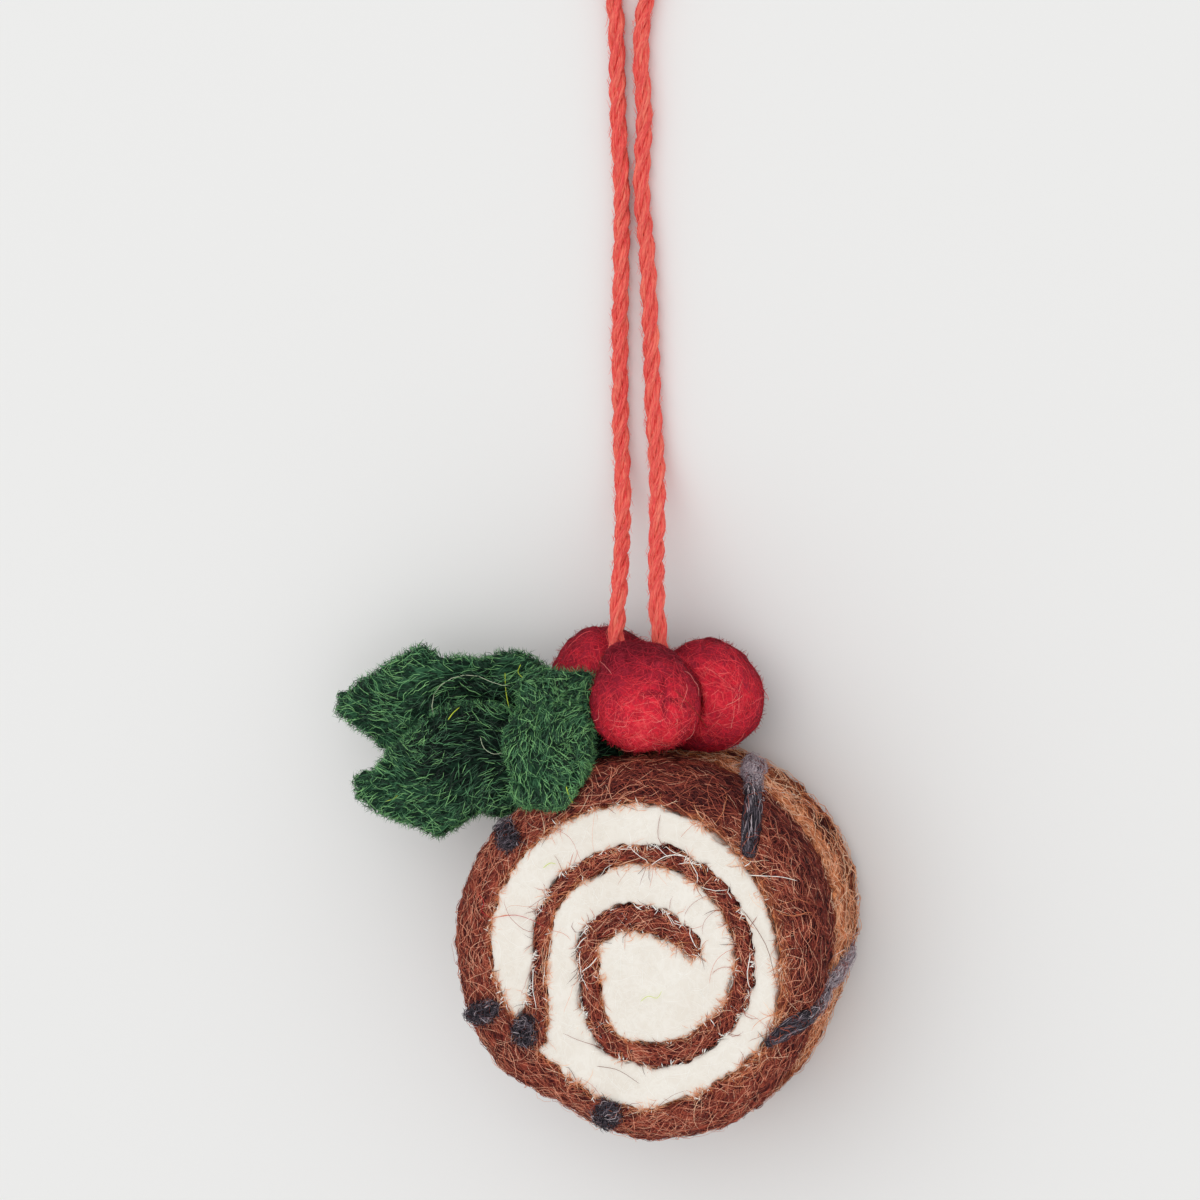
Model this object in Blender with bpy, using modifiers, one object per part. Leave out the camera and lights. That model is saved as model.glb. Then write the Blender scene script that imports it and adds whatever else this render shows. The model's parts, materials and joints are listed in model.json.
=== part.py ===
"""Felt yule log ornament: a slice of cream roll with berries, holly and a cord.

It lies on the flat back of the slice, with the spiral face up. The origin is
the middle of that back face. +X is the right of the face, +Y the top, where
the cord leaves, and +Z points out of the face. Sizes are in metres.
"""
import math

import bmesh
import bpy
from mathutils import Vector

MM = 0.001
# Gaps between touching pieces, and beside the cord
GAP = 0.3 * MM
CORD_GAP = 0.35 * MM
# Points closer than this are one, and edges sharper than this stay sharp
WELD = 0.002 * MM
SHARP_ANGLE = math.radians(50)

# The slice: its thickness, and its radius every 15 degrees from +X
THICKNESS = 28 * MM
ROLL_RADII = [r * MM for r in (
    28.1, 28.8, 29.3, 29.4, 29.4, 29.2, 29.0, 28.9, 28.5, 28.1, 28.5, 28.6,
    28.5, 28.3, 28.5, 27.9, 26.3, 26.7, 27.9, 28.4, 28.9, 28.5, 27.6, 27.4)]
RIM_BAND = 5.5 * MM
FRONT_ROUNDING = 3.6 * MM
BACK_ROUNDING = 2.6 * MM
MEAN_RADIUS = 28 * MM
ROLL_SIDES = 72
FRONT_STEPS = 5
BACK_STEPS = 4
# The fold in the side wall: its height, depth, half width, the share of the depth
# that it keeps all round, where it is deepest, and the rows of points beside it
FOLD_HEIGHT = 14.5 * MM
FOLD_DEPTH = 1.1 * MM
FOLD_SPREAD = 1.6 * MM
FOLD_KEPT = 0.3
FOLD_ANGLE = math.radians(25)
FOLD_ROWS = [row * MM for row in (6, 3, 1.5, 0, -1.5, -3, -7)]
# How far the wall draws in towards the back, and where it does so most
DRAW_IN = 1.7 * MM
DRAW_ANGLE = math.radians(-35)

# The cream: its radius every 30 degrees from +X, and how far it puffs out
CREAM_RADII = [r * MM for r in (
    22.5, 22.3, 22.9, 23.0, 22.4, 22.4, 22.3, 21.2, 21.3, 22.9, 22.5, 23.6)]
CREAM_PUFF = 0.7 * MM
CREAM_EDGE = 0.8 * MM
CREAM_ARCS = 56
# How far the slot's cutter passes the slice, front and back
SLOT_OVERSHOOT = 5 * MM

# The sponge arm that winds in clockwise: its pole, and every 30 degrees of
# turn from just outside the cream its distance from the pole and its width
ARM_POLE = Vector((3.1 * MM, -4.9 * MM))
ARM_START = math.radians(-128)
ARM_STEP = math.radians(30)
ARM_TURN = math.radians(557)
ARM_RADII = [r * MM for r in (
    30.0, 20.3, 17.9, 20.4, 20.7, 20.2, 18.0, 15.4, 12.8, 10.7,
    10.2, 10.0, 10.7, 10.1, 10.0, 12.2, 11.4, 10.0, 9.1, 8.2, 7.5)]
ARM_WIDTHS = [w * MM for w in (
    4.6, 4.0, 2.3, 2.4, 2.6, 2.9, 2.7, 2.7, 2.9, 3.1,
    3.1, 3.1, 3.2, 3.0, 2.9, 3.2, 3.7, 3.9, 2.8, 0.4, 0.2)]
ARM_SAMPLES = 78
# How far inside the cream's edge a point of the arm's sides lies at least
ARM_INSET = 0.2 * MM
# Small steps along a line, in radians and in stations, that give its way
TURN_AHEAD = 0.01
STATION_AHEAD = 0.02

# Berries: centre and radius
BERRIES = {
    "berry_front": (Vector((-0.4, 37.6, 20.7)) * MM, 8.4 * MM),
    "berry_right": (Vector((5.7, 37.0, 9.2)) * MM, 8.7 * MM),
    "berry_rear": (Vector((-10.1, 39.0, 8.9)) * MM, 8.3 * MM),
}
BERRY_UNEVEN = 0.03
BERRY_SIDES = 24
BERRY_RINGS = 14

# Holly leaves: root, tip, how far the middle bows and the edges cup out of the
# plane, and the half widths right and left of the way from root to tip, each in
# millimetres against the share of that way
LEAF_THICKNESS = 2.4 * MM
LEAVES = {
    "leaf_upper": {
        "root": Vector((-10.2, 30.8, 12.6)) * MM,
        "tip": Vector((-51.7, 34.3, 11.4)) * MM,
        "bow": 0.6 * MM,
        "cup": 0.6 * MM,
        "right_half": ((0, 1.5), (0.12, 2.2), (0.18, 3.2), (0.21, 9.2), (0.28, 10.8), (0.38, 10.6),
                       (0.47, 9.2), (0.54, 9.7), (0.61, 9.0), (0.69, 10.4), (0.76, 8.7),
                       (0.88, 4.9), (1, 0.5)),
        "left_half": ((0, 2.6), (0.1, 4.4), (0.25, 6.6), (0.4, 6.2), (0.55, 7.6), (0.65, 5.6),
                      (0.75, 7.0), (0.81, 5.7), (0.86, 4.1), (0.94, 3.1), (1, 0.5)),
    },
    "leaf_lower": {
        "root": Vector((-8.5, 31.2, 16.8)) * MM,
        "tip": Vector((-47.3, 21.9, 15.9)) * MM,
        "bow": 1.2 * MM,
        "cup": 1.0 * MM,
        "right_half": ((0, 2.2), (0.12, 2.9), (0.21, 3.4), (0.29, 6.0), (0.41, 8.6), (0.53, 9.4),
                       (0.64, 8.5), (0.76, 6.0), (0.85, 4.5), (0.89, 2.5), (0.96, 1.5), (1, 0.5)),
        "left_half": ((0, 3.0), (0.12, 3.2), (0.21, 3.4), (0.29, 6.0), (0.37, 7.8), (0.45, 8.6),
                      (0.5, 7.0), (0.58, 7.4), (0.64, 8.8), (0.71, 9.3), (0.76, 8.0),
                      (0.83, 6.1), (0.92, 3.8), (0.98, 1.9), (1, 0.5)),
    },
    "leaf_front": {
        "root": Vector((-14.6, 40.9, 18.6)) * MM,
        "tip": Vector((-13.4, 22.4, 29.8)) * MM,
        "bow": 1.1 * MM,
        "cup": -0.6 * MM,
        "right_half": ((0, 4.6), (0.04, 5.2), (0.19, 5.1), (0.33, 5.8), (0.42, 6.9), (0.56, 6.9),
                       (0.65, 6.0), (0.76, 5.0), (0.92, 4.4), (1, 3.2)),
        "left_half": ((0, 4.6), (0.07, 5.8), (0.26, 6.2), (0.47, 6.2), (0.62, 6.2), (0.74, 6.4),
                      (0.82, 5.6), (0.93, 4.2), (1, 2.4)),
    },
}
LEAF_CELLS_ALONG = 24
LEAF_CELLS_ACROSS = 6
LEAF_RIPPLE = 0.45 * MM
LEAF_RIPPLE_TURN = 13

# Dark bark strands: thickness, and stations of angle in degrees, millimetres
# outward from the inner edge of the rim band over the skin, and half width
STRAND_THICKNESS = 0.8 * MM
STRANDS = {
    "bark_top": ((41.8, 0.4, 0.8), (45.8, 2.4, 1.15), (52.5, 6.0, 1.1), (58.0, 13.0, 1.2),
                 (62.5, 20.5, 1.5), (65, 26.0, 1.1)),
    "bark_right": ((-30.0, 2.2, 0.3), (-25.2, 3.2, 0.9), (-18.8, 5.6, 1.2), (-14.3, 13.0, 1.15),
                   (-9.5, 19.5, 1.1), (-2, 26.0, 0.7)),
    "bark_left_upper": ((139.5, 2.0, 0.8), (138.5, 3.6, 1.25), (137.5, 5.4, 0.8)),
    "bark_left": ((-157.5, 0.3, 0.7), (-157.8, 2.4, 1.1), (-158.5, 4.8, 0.7)),
    "bark_tail": ((-139.8, -1.1, 0.8), (-144.4, -2.0, 1.25), (-148.7, -3.3, 0.9)),
    "bark_bottom": ((-97.0, 1.2, 0.8), (-99.0, 2.6, 1.4), (-101.5, 4.4, 0.9)),
}
STRAND_CELLS_ACROSS = 3
STRAND_CELLS_BETWEEN_STATIONS = 4

# The hanging cord: diameter, and the points of its route in millimetres, from
# the slice past the berries to the floor, round the loop and back
CORD_DIAMETER = 2.7 * MM
CORD_SAMPLES = 76
CORD_ROUTE = [Vector(p) * MM for p in (
    (-4.6, 29.5, 14.6), (-5.2, 34.0, 14.9), (-6.0, 40.0, 15.8), (-6.4, 45.0, 15.9),
    (-6.8, 50.0, 13.8), (-7.6, 56.0, 9.6), (-8.6, 62.5, 5.2), (-9.5, 69.5, 2.4),
    (-10.1, 77.0, 1.45), (-10.2, 90.0, 1.45), (-10.0, 103.0, 1.45), (-9.95, 113.0, 1.45),
    (-10.5, 124.0, 1.45), (-10.7, 134.0, 1.45), (-11.2, 142.0, 1.45), (-13.6, 150.0, 1.45),
    (-14.6, 156.5, 1.45), (-12.6, 162.0, 1.45), (-8.6, 164.3, 1.45), (-4.6, 162.0, 1.45),
    (-2.6, 156.5, 1.45), (-3.8, 150.0, 1.45), (-6.1, 142.0, 1.45), (-6.9, 134.0, 1.45),
    (-6.4, 124.0, 1.45), (-6.8, 113.0, 1.45), (-5.9, 103.0, 1.45), (-5.3, 90.0, 1.45),
    (-5.0, 80.5, 1.45), (-4.2, 72.0, 2.1), (-3.3, 65.0, 4.6), (-2.2, 58.0, 8.8),
    (-0.9, 51.5, 12.9), (0.1, 46.0, 14.6), (0.4, 40.5, 13.8), (0.3, 34.5, 13.0),
    (0.2, 29.6, 12.6))]

FELT = {
    "sponge": (0.17, 0.05, 0.027),
    "cream": (0.86, 0.83, 0.76),
    "berry": (0.45, 0.012, 0.03),
    "holly": (0.012, 0.085, 0.032),
    "bark": (0.06, 0.045, 0.055),
    "cord": (0.62, 0.075, 0.065),
}


def spline(values, position):
    """Value at a fractional place in a list, on a smooth curve through it."""
    last = len(values) - 1
    k = min(max(int(position), 0), last - 1)
    t = position - k
    a, b, c, d = (values[min(max(k + n, 0), last)] for n in (-1, 0, 1, 2))
    return 0.5 * (2 * b + (c - a) * t + (2 * a - 5 * b + 4 * c - d) * t * t
                  + (3 * b - 3 * c + d - a) * t ** 3)


def around(values, angle):
    """Value at an angle, where the list holds one for each equal step of a turn."""
    wrapped = values[-1:] + values + values[:2]
    return spline(wrapped, (angle / math.tau % 1) * len(values) + 1)


def between(pairs, share):
    """Value at a share, straight between the pairs."""
    for (s0, w0), (s1, w1) in zip(pairs, pairs[1:]):
        if share <= s1:
            return w0 + (w1 - w0) * (share - s0) / (s1 - s0)
    return pairs[-1][1]


def fold(angle, height):
    """How far the fold and the slant draw the side wall in."""
    near = math.exp(-((height - FOLD_HEIGHT) / FOLD_SPREAD) ** 2)
    share = FOLD_KEPT + (1 - FOLD_KEPT) * max(math.cos(angle - FOLD_ANGLE), 0)
    crease = FOLD_DEPTH * near * share
    slant = DRAW_IN * max(math.cos(angle - DRAW_ANGLE), 0) ** 2 * (1 - height / THICKNESS)
    return crease + slant


def skin(angle, along, rise=0.0):
    """Point of the slice's skin, along millimetres outward from the rim band.

    The skin runs over the front face, round the front edge and down the wall.
    """
    radius = around(ROLL_RADII, angle)
    flat = RIM_BAND - FRONT_ROUNDING
    arc = FRONT_ROUNDING * math.pi / 2
    if along <= flat:
        inset, height, tilt = RIM_BAND - along, THICKNESS, math.pi / 2
    elif along <= flat + arc:
        tilt = math.pi / 2 - (along - flat) / FRONT_ROUNDING
        inset = FRONT_ROUNDING * (1 - math.cos(tilt))
        height = THICKNESS - FRONT_ROUNDING * (1 - math.sin(tilt))
    else:
        inset, tilt = 0, 0
        height = THICKNESS - FRONT_ROUNDING - (along - flat - arc)
    inset += fold(angle, height) * math.cos(tilt)
    out = radius - inset + rise * math.cos(tilt)
    return Vector((out * math.cos(angle), out * math.sin(angle), height + rise * math.sin(tilt)))


def material(kind):
    """Felt material of one colour, made once."""
    made = bpy.data.materials.get("felt_" + kind)
    if made:
        return made
    made = bpy.data.materials.new("felt_" + kind)
    made.use_nodes = True
    shader = made.node_tree.nodes["Principled BSDF"]
    shader.inputs["Base Color"].default_value = (*FELT[kind], 1)
    shader.inputs["Roughness"].default_value = 0.95
    shader.inputs["Metallic"].default_value = 0
    return made


def add(name, mesh, kind, collection):
    """Object in a collection, with its felt material and smooth shading."""
    piece = bpy.data.objects.new(name, mesh)
    collection.objects.link(piece)
    mesh.materials.clear()
    mesh.materials.append(material(kind))
    mesh.shade_smooth()
    mesh.set_sharp_from_angle(angle=SHARP_ANGLE)
    return piece


def as_cutter(piece):
    """Show a piece as a wire guide only."""
    piece.hide_render = True
    piece.display_type = "WIRE"
    return piece


def cut(piece, cutter):
    """Take the cutter away from a piece."""
    step = piece.modifiers.new("cut_" + cutter.name, "BOOLEAN")
    step.operation = "DIFFERENCE"
    step.solver = "EXACT"
    step.object = cutter


def mesh_of(source):
    """Welded mesh of an object as its modifiers or curve make it, in place."""
    bpy.context.view_layer.update()
    evaluated = source.evaluated_get(bpy.context.evaluated_depsgraph_get())
    mesh = bpy.data.meshes.new_from_object(evaluated)
    shape = bmesh.new()
    shape.from_mesh(mesh)
    bmesh.ops.transform(shape, matrix=source.matrix_world, verts=shape.verts)
    bmesh.ops.remove_doubles(shape, verts=shape.verts, dist=WELD)
    bmesh.ops.recalc_face_normals(shape, faces=shape.faces)
    shape.to_mesh(mesh)
    shape.free()
    bpy.data.objects.remove(source)
    return mesh


def outline_slab(points, bottom, top, edge=0.0):
    """Mesh of a flat outline with straight walls, its edges rounded by edge."""
    curve = bpy.data.curves.new("outline", "CURVE")
    curve.dimensions = "2D"
    curve.fill_mode = "BOTH"
    curve.extrude = (top - bottom) / 2 - edge
    curve.bevel_depth = edge
    curve.bevel_resolution = 1
    curve.offset = -edge
    line = curve.splines.new("POLY")
    line.points.add(len(points) - 1)
    for spot, (x, y) in zip(line.points, points):
        spot.co = (x, y, 0, 1)
    line.use_cyclic_u = True
    piece = bpy.data.objects.new("outline", curve)
    piece.location.z = (top + bottom) / 2
    bpy.context.scene.collection.objects.link(piece)
    return mesh_of(piece)


def arm_point(turn):
    """Point of the sponge arm's middle line after a turn, and its half width."""
    angle = ARM_START - turn
    place = turn / ARM_STEP
    reach = spline(ARM_RADII, place)
    point = ARM_POLE + reach * Vector((math.cos(angle), math.sin(angle)))
    return point, spline(ARM_WIDTHS, place) / 2


def cream_outline(grow, arm_grow):
    """Outline of the cream: its round edge, and both sides of the arm's slot."""
    outer, inner = [], []
    for n in range(ARM_SAMPLES + 1):
        turn = ARM_TURN * n / ARM_SAMPLES
        here, half = arm_point(turn)
        ahead, _ = arm_point(turn + TURN_AHEAD)
        run = (ahead - here).normalized()
        side = Vector((-run.y, run.x)) * (half + arm_grow)
        outer.append(here + side)
        inner.append(here - side)

    def inside(point):
        edge_reach = around(CREAM_RADII, math.atan2(point.y, point.x)) + grow
        return point.length < edge_reach - ARM_INSET

    first_outer = next(n for n, p in enumerate(outer) if inside(p))
    first_inner = next(n for n, p in enumerate(inner) if inside(p))
    tail, foot = outer[first_outer], inner[first_inner]
    start = math.atan2(foot.y, foot.x)
    sweep = (math.atan2(tail.y, tail.x) - start) % math.tau
    edge = []
    for n in range(CREAM_ARCS + 1):
        angle = start + sweep * n / CREAM_ARCS
        reach = around(CREAM_RADII, angle) + grow
        edge.append(Vector((math.cos(angle), math.sin(angle))) * reach)
    return edge + outer[first_outer:] + inner[:first_inner - 1:-1]


def drum(grow):
    """Mesh of the whole slice, turned from its profile and then made uneven."""
    def rounded(radius, middle, start, steps):
        for n in range(steps + 1):
            tilt = start - math.pi / 2 * n / steps
            yield (MEAN_RADIUS - radius * (1 - math.cos(tilt)), middle + radius * math.sin(tilt))

    profile = [(0, THICKNESS)]
    profile += rounded(FRONT_ROUNDING, THICKNESS - FRONT_ROUNDING, math.pi / 2, FRONT_STEPS)
    profile += [(MEAN_RADIUS, FOLD_HEIGHT + row) for row in FOLD_ROWS]
    profile += rounded(BACK_ROUNDING, BACK_ROUNDING, 0, BACK_STEPS)
    profile += [(0, 0)]

    mesh = bpy.data.meshes.new("drum")
    runs = [(n, n + 1) for n in range(len(profile) - 1)]
    mesh.from_pydata([(x, 0, z) for x, z in profile], runs, [])
    turned = bpy.data.objects.new("drum", mesh)
    bpy.context.scene.collection.objects.link(turned)
    screw = turned.modifiers.new("turn", "SCREW")
    screw.steps = screw.render_steps = ROLL_SIDES
    screw.use_merge_vertices = True
    screw.merge_threshold = WELD
    mesh = mesh_of(turned)

    middle = THICKNESS / 2
    for vertex in mesh.vertices:
        x, y, z = vertex.co
        angle, reach = math.atan2(y, x), math.hypot(x, y)
        if reach > MM:
            reach += around(ROLL_RADII, angle) - MEAN_RADIUS - fold(angle, z) + grow
        z = middle + (z - middle) * (1 + grow / middle)
        vertex.co = (reach * math.cos(angle), reach * math.sin(angle), z)
    return mesh


def berry(centre, radius):
    """Mesh of a felted ball, a little uneven."""
    shape = bmesh.new()
    bmesh.ops.create_uvsphere(shape, u_segments=BERRY_SIDES, v_segments=BERRY_RINGS, radius=radius)
    for vertex in shape.verts:
        x, y, z = vertex.co / radius
        swell = math.sin(2.3 * x + 1.7 * y + centre.x / MM) * math.cos(2.1 * z + centre.y / MM)
        vertex.co = centre + vertex.co * (1 + BERRY_UNEVEN * swell)
    mesh = bpy.data.meshes.new("berry")
    shape.to_mesh(mesh)
    shape.free()
    return mesh


def leaf(root, tip, bow, cup, right_half, left_half):
    """Mesh of the middle sheet of a holly leaf, split into triangles."""
    run = tip - root
    right = run.cross(Vector((0, 0, 1))).normalized()
    face = right.cross(run).normalized()
    shape = bmesh.new()
    bmesh.ops.create_grid(shape, x_segments=LEAF_CELLS_ALONG, y_segments=LEAF_CELLS_ACROSS, size=1)
    for vertex in shape.verts:
        share, across = (vertex.co.x + 1) / 2, vertex.co.y
        half = between(right_half if across > 0 else left_half, share) * MM
        ripple = LEAF_RIPPLE * math.sin(LEAF_RIPPLE_TURN * share) * across
        lift = bow * math.sin(math.pi * share) + cup * across * across + ripple
        vertex.co = root + run * share + right * half * across + face * lift
    bmesh.ops.triangulate(shape, faces=shape.faces, quad_method="FIXED")
    bmesh.ops.recalc_face_normals(shape, faces=shape.faces)
    mesh = bpy.data.meshes.new("leaf")
    shape.to_mesh(mesh)
    shape.free()
    return mesh


def strand(stations):
    """Mesh of the middle sheet of a bark strand that follows the skin."""
    cells = STRAND_CELLS_BETWEEN_STATIONS * (len(stations) - 1)
    angles, alongs, halves = ([s[n] for s in stations] for n in range(3))
    rise = GAP + STRAND_THICKNESS / 2

    def middle(place):
        return skin(math.radians(spline(angles, place)), spline(alongs, place) * MM, rise)

    shape = bmesh.new()
    bmesh.ops.create_grid(shape, x_segments=cells, y_segments=STRAND_CELLS_ACROSS, size=1)
    for vertex in shape.verts:
        place = (vertex.co.x + 1) / 2 * (len(stations) - 1)
        here = middle(place)
        run = (middle(place + STATION_AHEAD) - middle(place - STATION_AHEAD)).normalized()
        angle = math.radians(spline(angles, place))
        up = (skin(angle, spline(alongs, place) * MM, rise + MM) - here).normalized()
        half = spline(halves, place) * MM
        vertex.co = here + up.cross(run) * half * vertex.co.y
    bmesh.ops.triangulate(shape, faces=shape.faces, quad_method="FIXED")
    bmesh.ops.recalc_face_normals(shape, faces=shape.faces)
    mesh = bpy.data.meshes.new("strand")
    shape.to_mesh(mesh)
    shape.free()
    return mesh


def thicken(piece, thickness):
    """Give a sheet its thickness, half to each side."""
    wall = piece.modifiers.new("thickness", "SOLIDIFY")
    wall.thickness = thickness
    wall.offset = 0
    wall.use_even_offset = False


def cord(diameter):
    """Mesh of the cord as a plain tube along its route."""
    curve = bpy.data.curves.new("cord", "CURVE")
    curve.dimensions = "3D"
    curve.bevel_depth = diameter / 2
    curve.bevel_resolution = 2
    curve.use_fill_caps = True
    line = curve.splines.new("POLY")
    line.points.add(CORD_SAMPLES - 1)
    for n, spot in enumerate(line.points):
        place = (len(CORD_ROUTE) - 1) * n / (CORD_SAMPLES - 1)
        spot.co = (*spline(CORD_ROUTE, place), 1)
    piece = bpy.data.objects.new("cord", curve)
    bpy.context.scene.collection.objects.link(piece)
    return mesh_of(piece)


def main():
    """Build the ornament."""
    for old in list(bpy.data.objects):
        bpy.data.objects.remove(old)
    parts = bpy.data.collections.new("felt_yule_log_ornament")
    cutters = bpy.data.collections.new("cutters")
    for group in (parts, cutters):
        bpy.context.scene.collection.children.link(group)

    add("cream_filling", outline_slab(cream_outline(0, GAP), 0, THICKNESS + CREAM_PUFF,
                                      CREAM_EDGE), "cream", parts)
    slot = outline_slab(cream_outline(GAP, 0), -SLOT_OVERSHOOT, THICKNESS + SLOT_OVERSHOOT)
    slot = as_cutter(add("cream_slot", slot, "cream", cutters))
    roll = add("sponge_roll", drum(0), "sponge", parts)
    cut(roll, slot)

    around_roll = as_cutter(add("around_roll", drum(GAP), "sponge", cutters))
    around_cord = as_cutter(add("around_cord", cord(CORD_DIAMETER + 2 * CORD_GAP), "cord", cutters))
    neighbours = [around_roll, around_cord]
    for name, (centre, radius) in BERRIES.items():
        ball = add(name, berry(centre, radius), "berry", parts)
        for neighbour in neighbours:
            cut(ball, neighbour)
        room = as_cutter(add("around_" + name, berry(centre, radius + GAP), "berry", cutters))
        neighbours.append(room)

    for name, plan in LEAVES.items():
        blade = add(name, leaf(**plan), "holly", parts)
        thicken(blade, LEAF_THICKNESS)
        for neighbour in neighbours:
            cut(blade, neighbour)

    for name, stations in STRANDS.items():
        thicken(add(name, strand(stations), "bark", parts), STRAND_THICKNESS)

    add("hanging_cord", cord(CORD_DIAMETER), "cord", parts)


main()
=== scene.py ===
"""Looks of a needle-felted yule log ornament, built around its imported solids.

The slice, berries and leaves are felt bodies under a coat of modelled wool
fibres. The bark is tufts of combed wool, and the cord is plied from three
strands. Everything is in metres, in the part's own frame.
"""
import json
import math

import bpy
import numpy as np
from bpy.props import FloatProperty, FloatVectorProperty, IntProperty, PointerProperty
from bpy.types import Operator, Panel, PropertyGroup
from mathutils import Matrix, Vector
from mathutils.bvhtree import BVHTree

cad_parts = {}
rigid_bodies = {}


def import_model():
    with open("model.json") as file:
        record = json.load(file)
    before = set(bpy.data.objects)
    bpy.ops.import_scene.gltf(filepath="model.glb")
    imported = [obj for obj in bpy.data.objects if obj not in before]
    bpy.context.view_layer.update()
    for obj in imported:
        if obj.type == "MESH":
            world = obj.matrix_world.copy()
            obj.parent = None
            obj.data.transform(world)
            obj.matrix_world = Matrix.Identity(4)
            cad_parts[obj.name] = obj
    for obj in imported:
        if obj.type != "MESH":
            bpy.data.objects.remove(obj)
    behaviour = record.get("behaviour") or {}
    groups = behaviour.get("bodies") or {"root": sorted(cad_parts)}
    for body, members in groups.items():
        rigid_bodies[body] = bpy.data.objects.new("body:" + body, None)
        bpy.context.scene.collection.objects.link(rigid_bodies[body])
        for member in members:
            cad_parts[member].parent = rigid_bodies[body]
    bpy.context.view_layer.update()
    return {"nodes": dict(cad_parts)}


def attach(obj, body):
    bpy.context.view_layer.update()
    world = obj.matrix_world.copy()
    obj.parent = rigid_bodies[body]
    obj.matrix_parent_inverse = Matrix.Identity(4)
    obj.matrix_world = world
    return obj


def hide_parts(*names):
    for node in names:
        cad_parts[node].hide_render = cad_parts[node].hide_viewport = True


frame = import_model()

bl_info = {
    "name": "Felt yule log ornament",
    "version": (1, 0, 0),
    "blender": (4, 5, 0),
    "location": "View3D > Sidebar > Felt ornament",
    "description": "Felt, wool fibres and yarn for a yule log ornament",
    "category": "Object",
}

MM = 0.001
LOWEST = 0.03 * MM
BODY = "root"

# The photograph: its size and scale, and the pixel of the spiral face's middle
PHOTO_PIXELS = 1200
PIXEL = 0.15 * MM
FACE_PIXEL = (633.5, 956.0)
FACE_HEIGHT = 28 * MM
SIGHT_YAW = math.radians(17)
SIGHT_PITCH = math.radians(7)
SIGHT_DISTANCE = 1.6

# The pole that the sponge's arm winds round, and the radius past which the outer wrap goes
# round the slice's middle
ARM_POLE = np.array((3.1, -4.9, 0.0)) * MM
RING_RADIUS = 22.0 * MM

# The cord's route, from the slice past the berries to the floor and back
CORD_DIAMETER = 2.7 * MM
CORD_ROUTE = [Vector(p) * MM for p in (
    (-4.6, 29.5, 14.6), (-5.2, 34.0, 14.9), (-6.0, 40.0, 15.8), (-6.4, 45.0, 15.9),
    (-6.8, 50.0, 13.8), (-7.6, 56.0, 9.6), (-8.6, 62.5, 5.2), (-9.5, 69.5, 2.4),
    (-10.1, 77.0, 1.45), (-10.2, 90.0, 1.45), (-10.0, 103.0, 1.45), (-9.95, 113.0, 1.45),
    (-10.5, 124.0, 1.45), (-10.7, 134.0, 1.45), (-11.2, 142.0, 1.45), (-13.6, 150.0, 1.45),
    (-14.6, 156.5, 1.45), (-12.6, 162.0, 1.45), (-8.6, 164.3, 1.45), (-4.6, 162.0, 1.45),
    (-2.6, 156.5, 1.45), (-3.8, 150.0, 1.45), (-6.1, 142.0, 1.45), (-6.9, 134.0, 1.45),
    (-6.4, 124.0, 1.45), (-6.8, 113.0, 1.45), (-5.9, 103.0, 1.45), (-5.3, 90.0, 1.45),
    (-5.0, 80.5, 1.45), (-4.2, 72.0, 2.1), (-3.3, 65.0, 4.6), (-2.2, 58.0, 8.8),
    (-0.9, 51.5, 12.9), (0.1, 46.0, 14.6), (0.4, 40.5, 13.8), (0.3, 34.5, 13.0),
    (0.2, 29.6, 12.6))]

# Leaves, each with the way it runs from root to tip
LEAVES = {
    "leaf_upper": (-1.0, 0.08, 0.0),
    "leaf_lower": (-0.97, -0.26, 0.0),
    "leaf_front": (0.06, -0.87, 0.49),
}


def paint(red, green, blue):
    """Scene-linear colour of a colour given as 8-bit sRGB."""
    def linear(value):
        value /= 255
        return value / 12.92 if value <= 0.04045 else ((value + 0.055) / 1.055) ** 2.4
    return linear(red), linear(green), linear(blue)


class FibreSettings(PropertyGroup):
    """How the wool fibres are laid."""
    thickness: FloatProperty(
        name="Thickness", description="Width of a wool fibre", default=0.11 * MM, unit="LENGTH")
    slice_count: IntProperty(
        name="Slice fibres", description="Fibres on the slice's face", default=7400)
    wall_count: IntProperty(
        name="Wall fibres", description="Fibres on the slice's side wall", default=6600)
    back_count: IntProperty(
        name="Back fibres", description="Fibres on the slice's back", default=1400)
    edge_count: IntProperty(
        name="Edge fibres", description="Ginger fibres that cross onto the cream", default=3200)
    cream_count: IntProperty(
        name="Cream fibres", description="Fibres on the cream", default=800)
    berry_count: IntProperty(
        name="Berry fibres", description="Fibres on each berry", default=1500)
    leaf_count: IntProperty(
        name="Leaf fibres", description="Fibres on each leaf", default=2900)
    seed: IntProperty(name="Seed", description="Start of every random draw", default=11)


class WoolColours(PropertyGroup):
    """Colours of the wool."""
    sponge: FloatVectorProperty(
        name="Sponge", description="Red-brown wool", subtype="COLOR", default=paint(160, 73, 58))
    ginger: FloatVectorProperty(
        name="Ginger", description="Pale ginger wool in the sponge", subtype="COLOR",
        default=paint(238, 154, 102))
    cream: FloatVectorProperty(
        name="Cream", description="Off-white wool", subtype="COLOR", default=paint(244, 239, 230))
    berry: FloatVectorProperty(
        name="Berry", description="Crimson wool", subtype="COLOR", default=paint(230, 42, 62))
    holly: FloatVectorProperty(
        name="Holly", description="Green wool", subtype="COLOR", default=paint(64, 110, 78))
    bark: FloatVectorProperty(
        name="Bark", description="Slate wool", subtype="COLOR", default=paint(60, 55, 63))
    cord: FloatVectorProperty(
        name="Cord", description="Coral red yarn", subtype="COLOR", default=paint(248, 90, 88))


def settings():
    """The scene's fibre settings."""
    return bpy.context.scene.felt_fibres


def colours():
    """The scene's wool colours."""
    return bpy.context.scene.felt_colours


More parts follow.
